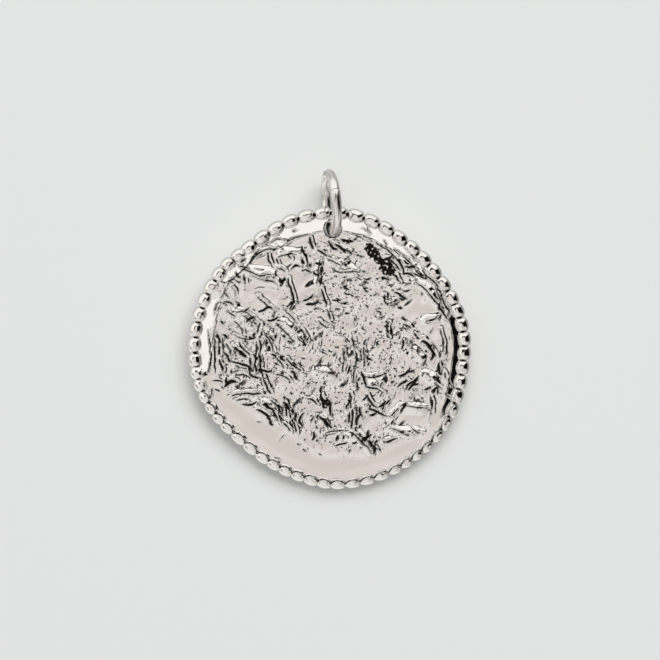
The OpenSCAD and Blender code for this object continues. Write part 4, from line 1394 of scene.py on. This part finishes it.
def studio_light(layout, finish):
    """Even light for the floor, and the studio that only the metal mirrors."""
    world = bpy.data.worlds.new("studio")
    bpy.context.scene.world = world
    world.use_nodes = True
    world.cycles.sampling_method = "NONE"
    tree = world.node_tree
    tree.nodes.clear()
    coord = node(tree, "ShaderNodeTexCoord")
    # turned until its middle stands where the flat of the face mirrors it to the camera
    faced = node(
        tree, "ShaderNodeVectorRotate", {"rotation_type": "X_AXIS", "Angle": -2 * layout.tilt},
        {"Vector": coord.outputs["Generated"]},
    )
    studio = mirrored_studio(tree, faced.outputs["Vector"])
    # the board's light comes from above alone, so it is dim under the disc
    own_z = node(tree, "ShaderNodeSeparateXYZ", None, {"Vector": coord.outputs["Generated"]})
    above = node(
        tree, "ShaderNodeMapRange",
        {"From Min": 0.0, "From Max": 0.75, "To Min": 0.02, "To Max": finish.floor_light},
        {"Value": own_z.outputs[2]},
    )
    # more of it comes from the window's side
    towards = node(
        tree, "ShaderNodeVectorMath", {"operation": "DOT_PRODUCT", 1: WINDOW_SIDE},
        {0: coord.outputs["Generated"]},
    )
    uneven = node(
        tree, "ShaderNodeMath", {"operation": "MULTIPLY_ADD", 1: 0.95, 2: 1},
        {0: towards.outputs["Value"]},
    )
    strength = node(
        tree, "ShaderNodeMath", {"operation": "MULTIPLY"},
        {0: above.outputs["Result"], 1: uneven.outputs[0]},
    )
    path = node(tree, "ShaderNodeLightPath")
    mirrored = node(tree, "ShaderNodeBackground", None, {"Color": studio})
    even = node(
        tree, "ShaderNodeBackground", {"Color": linear("f4f5f5")},
        {"Strength": strength.outputs[0]},
    )
    both = node(
        tree, "ShaderNodeMixShader", None,
        {0: path.outputs["Is Glossy Ray"], 1: even.outputs[0], 2: mirrored.outputs[0]},
    )
    node(tree, "ShaderNodeOutputWorld", None, {"Surface": both.outputs[0]})


def lay_floor():
    """A matt white board under the pendant, which the metal doesn't mirror."""
    bm = bmesh.new()
    bmesh.ops.create_circle(bm, cap_ends=True, segments=96, radius=FLOOR_R)
    floor = placed(bm, "floor", Matrix.Translation((0, 0, -FLOOR_DOWN * MM)))
    paper = bpy.data.materials.new("matt_white_board")
    paper.use_nodes = True
    shader = paper.node_tree.nodes["Principled BSDF"]
    shader.inputs["Base Color"].default_value = linear("e7e8e7")
    shader.inputs["Roughness"].default_value = 0.9
    floor.data.materials.append(paper)
    floor.visible_glossy = False


def hang_window(finish):
    """The soft window that lights the floor."""
    lamp = bpy.data.lights.new("window", "AREA")
    lamp.shape = "RECTANGLE"
    lamp.size, lamp.size_y = WINDOW_SIZE
    lamp.energy = finish.window_light
    window = bpy.data.objects.new("window", lamp)
    bpy.context.scene.collection.objects.link(window)
    window.location = WINDOW_AT
    window.rotation_euler = (-Vector(WINDOW_AT)).to_track_quat("-Z", "Y").to_euler()
    window.visible_glossy = False
    window.visible_camera = False


def set_camera(layout):
    """The camera, straight above the pendant."""
    lens = bpy.data.cameras.new("camera")
    lens.lens = CAMERA_LENS
    lens.sensor_width = SENSOR
    lens.clip_start, lens.clip_end = 0.01, 20
    camera = bpy.data.objects.new("camera", lens)
    bpy.context.scene.collection.objects.link(camera)
    middle = layout.rest @ Vector((0, 0, layout.disc_t))
    distance = VIEW_WIDTH * MM * CAMERA_LENS / SENSOR
    camera.location = (
        middle.x - DISC_RIGHT * MM, middle.y + DISC_DOWN * MM, middle.z + distance
    )
    bpy.context.scene.camera = camera


class PENDANT_OT_stage(bpy.types.Operator):
    """Pale floor, soft light and the camera above the pendant"""

    bl_idname = "pendant.stage"
    bl_label = "Stage"

    def execute(self, context):
        layout = Layout(context.scene.pendant_sizes)
        finish = context.scene.pendant_finish
        studio_light(layout, finish)
        lay_floor()
        hang_window(finish)
        set_camera(layout)
        context.scene.view_settings.view_transform = "Standard"
        return {"FINISHED"}


# The add-on


class PENDANT_PT_panel(bpy.types.Panel):
    """Sizes, finish and pieces of the pendant"""

    bl_idname = "PENDANT_PT_panel"
    bl_label = "Pendant"
    bl_space_type = "VIEW_3D"
    bl_region_type = "UI"
    bl_category = "Pendant"

    def draw(self, context):
        for group in (context.scene.pendant_sizes, context.scene.pendant_finish):
            box = self.layout.box()
            for name in group.__annotations__:
                box.prop(group, name)
        for piece in ("medallion", "jump_ring", "stage"):
            self.layout.operator("pendant." + piece)


CLASSES = (
    PendantSizes, PendantFinish, PENDANT_OT_medallion, PENDANT_OT_jump_ring, PENDANT_OT_stage,
    PENDANT_PT_panel,
)


def register():
    for cls in CLASSES:
        bpy.utils.register_class(cls)
    bpy.types.Scene.pendant_sizes = PointerProperty(type=PendantSizes)
    bpy.types.Scene.pendant_finish = PointerProperty(type=PendantFinish)


def unregister():
    del bpy.types.Scene.pendant_finish
    del bpy.types.Scene.pendant_sizes
    for cls in reversed(CLASSES):
        bpy.utils.unregister_class(cls)


def main():
    register()
    bpy.ops.pendant.medallion()
    bpy.ops.pendant.jump_ring()
    bpy.ops.pendant.stage()


if __name__ == "__main__":
    main()
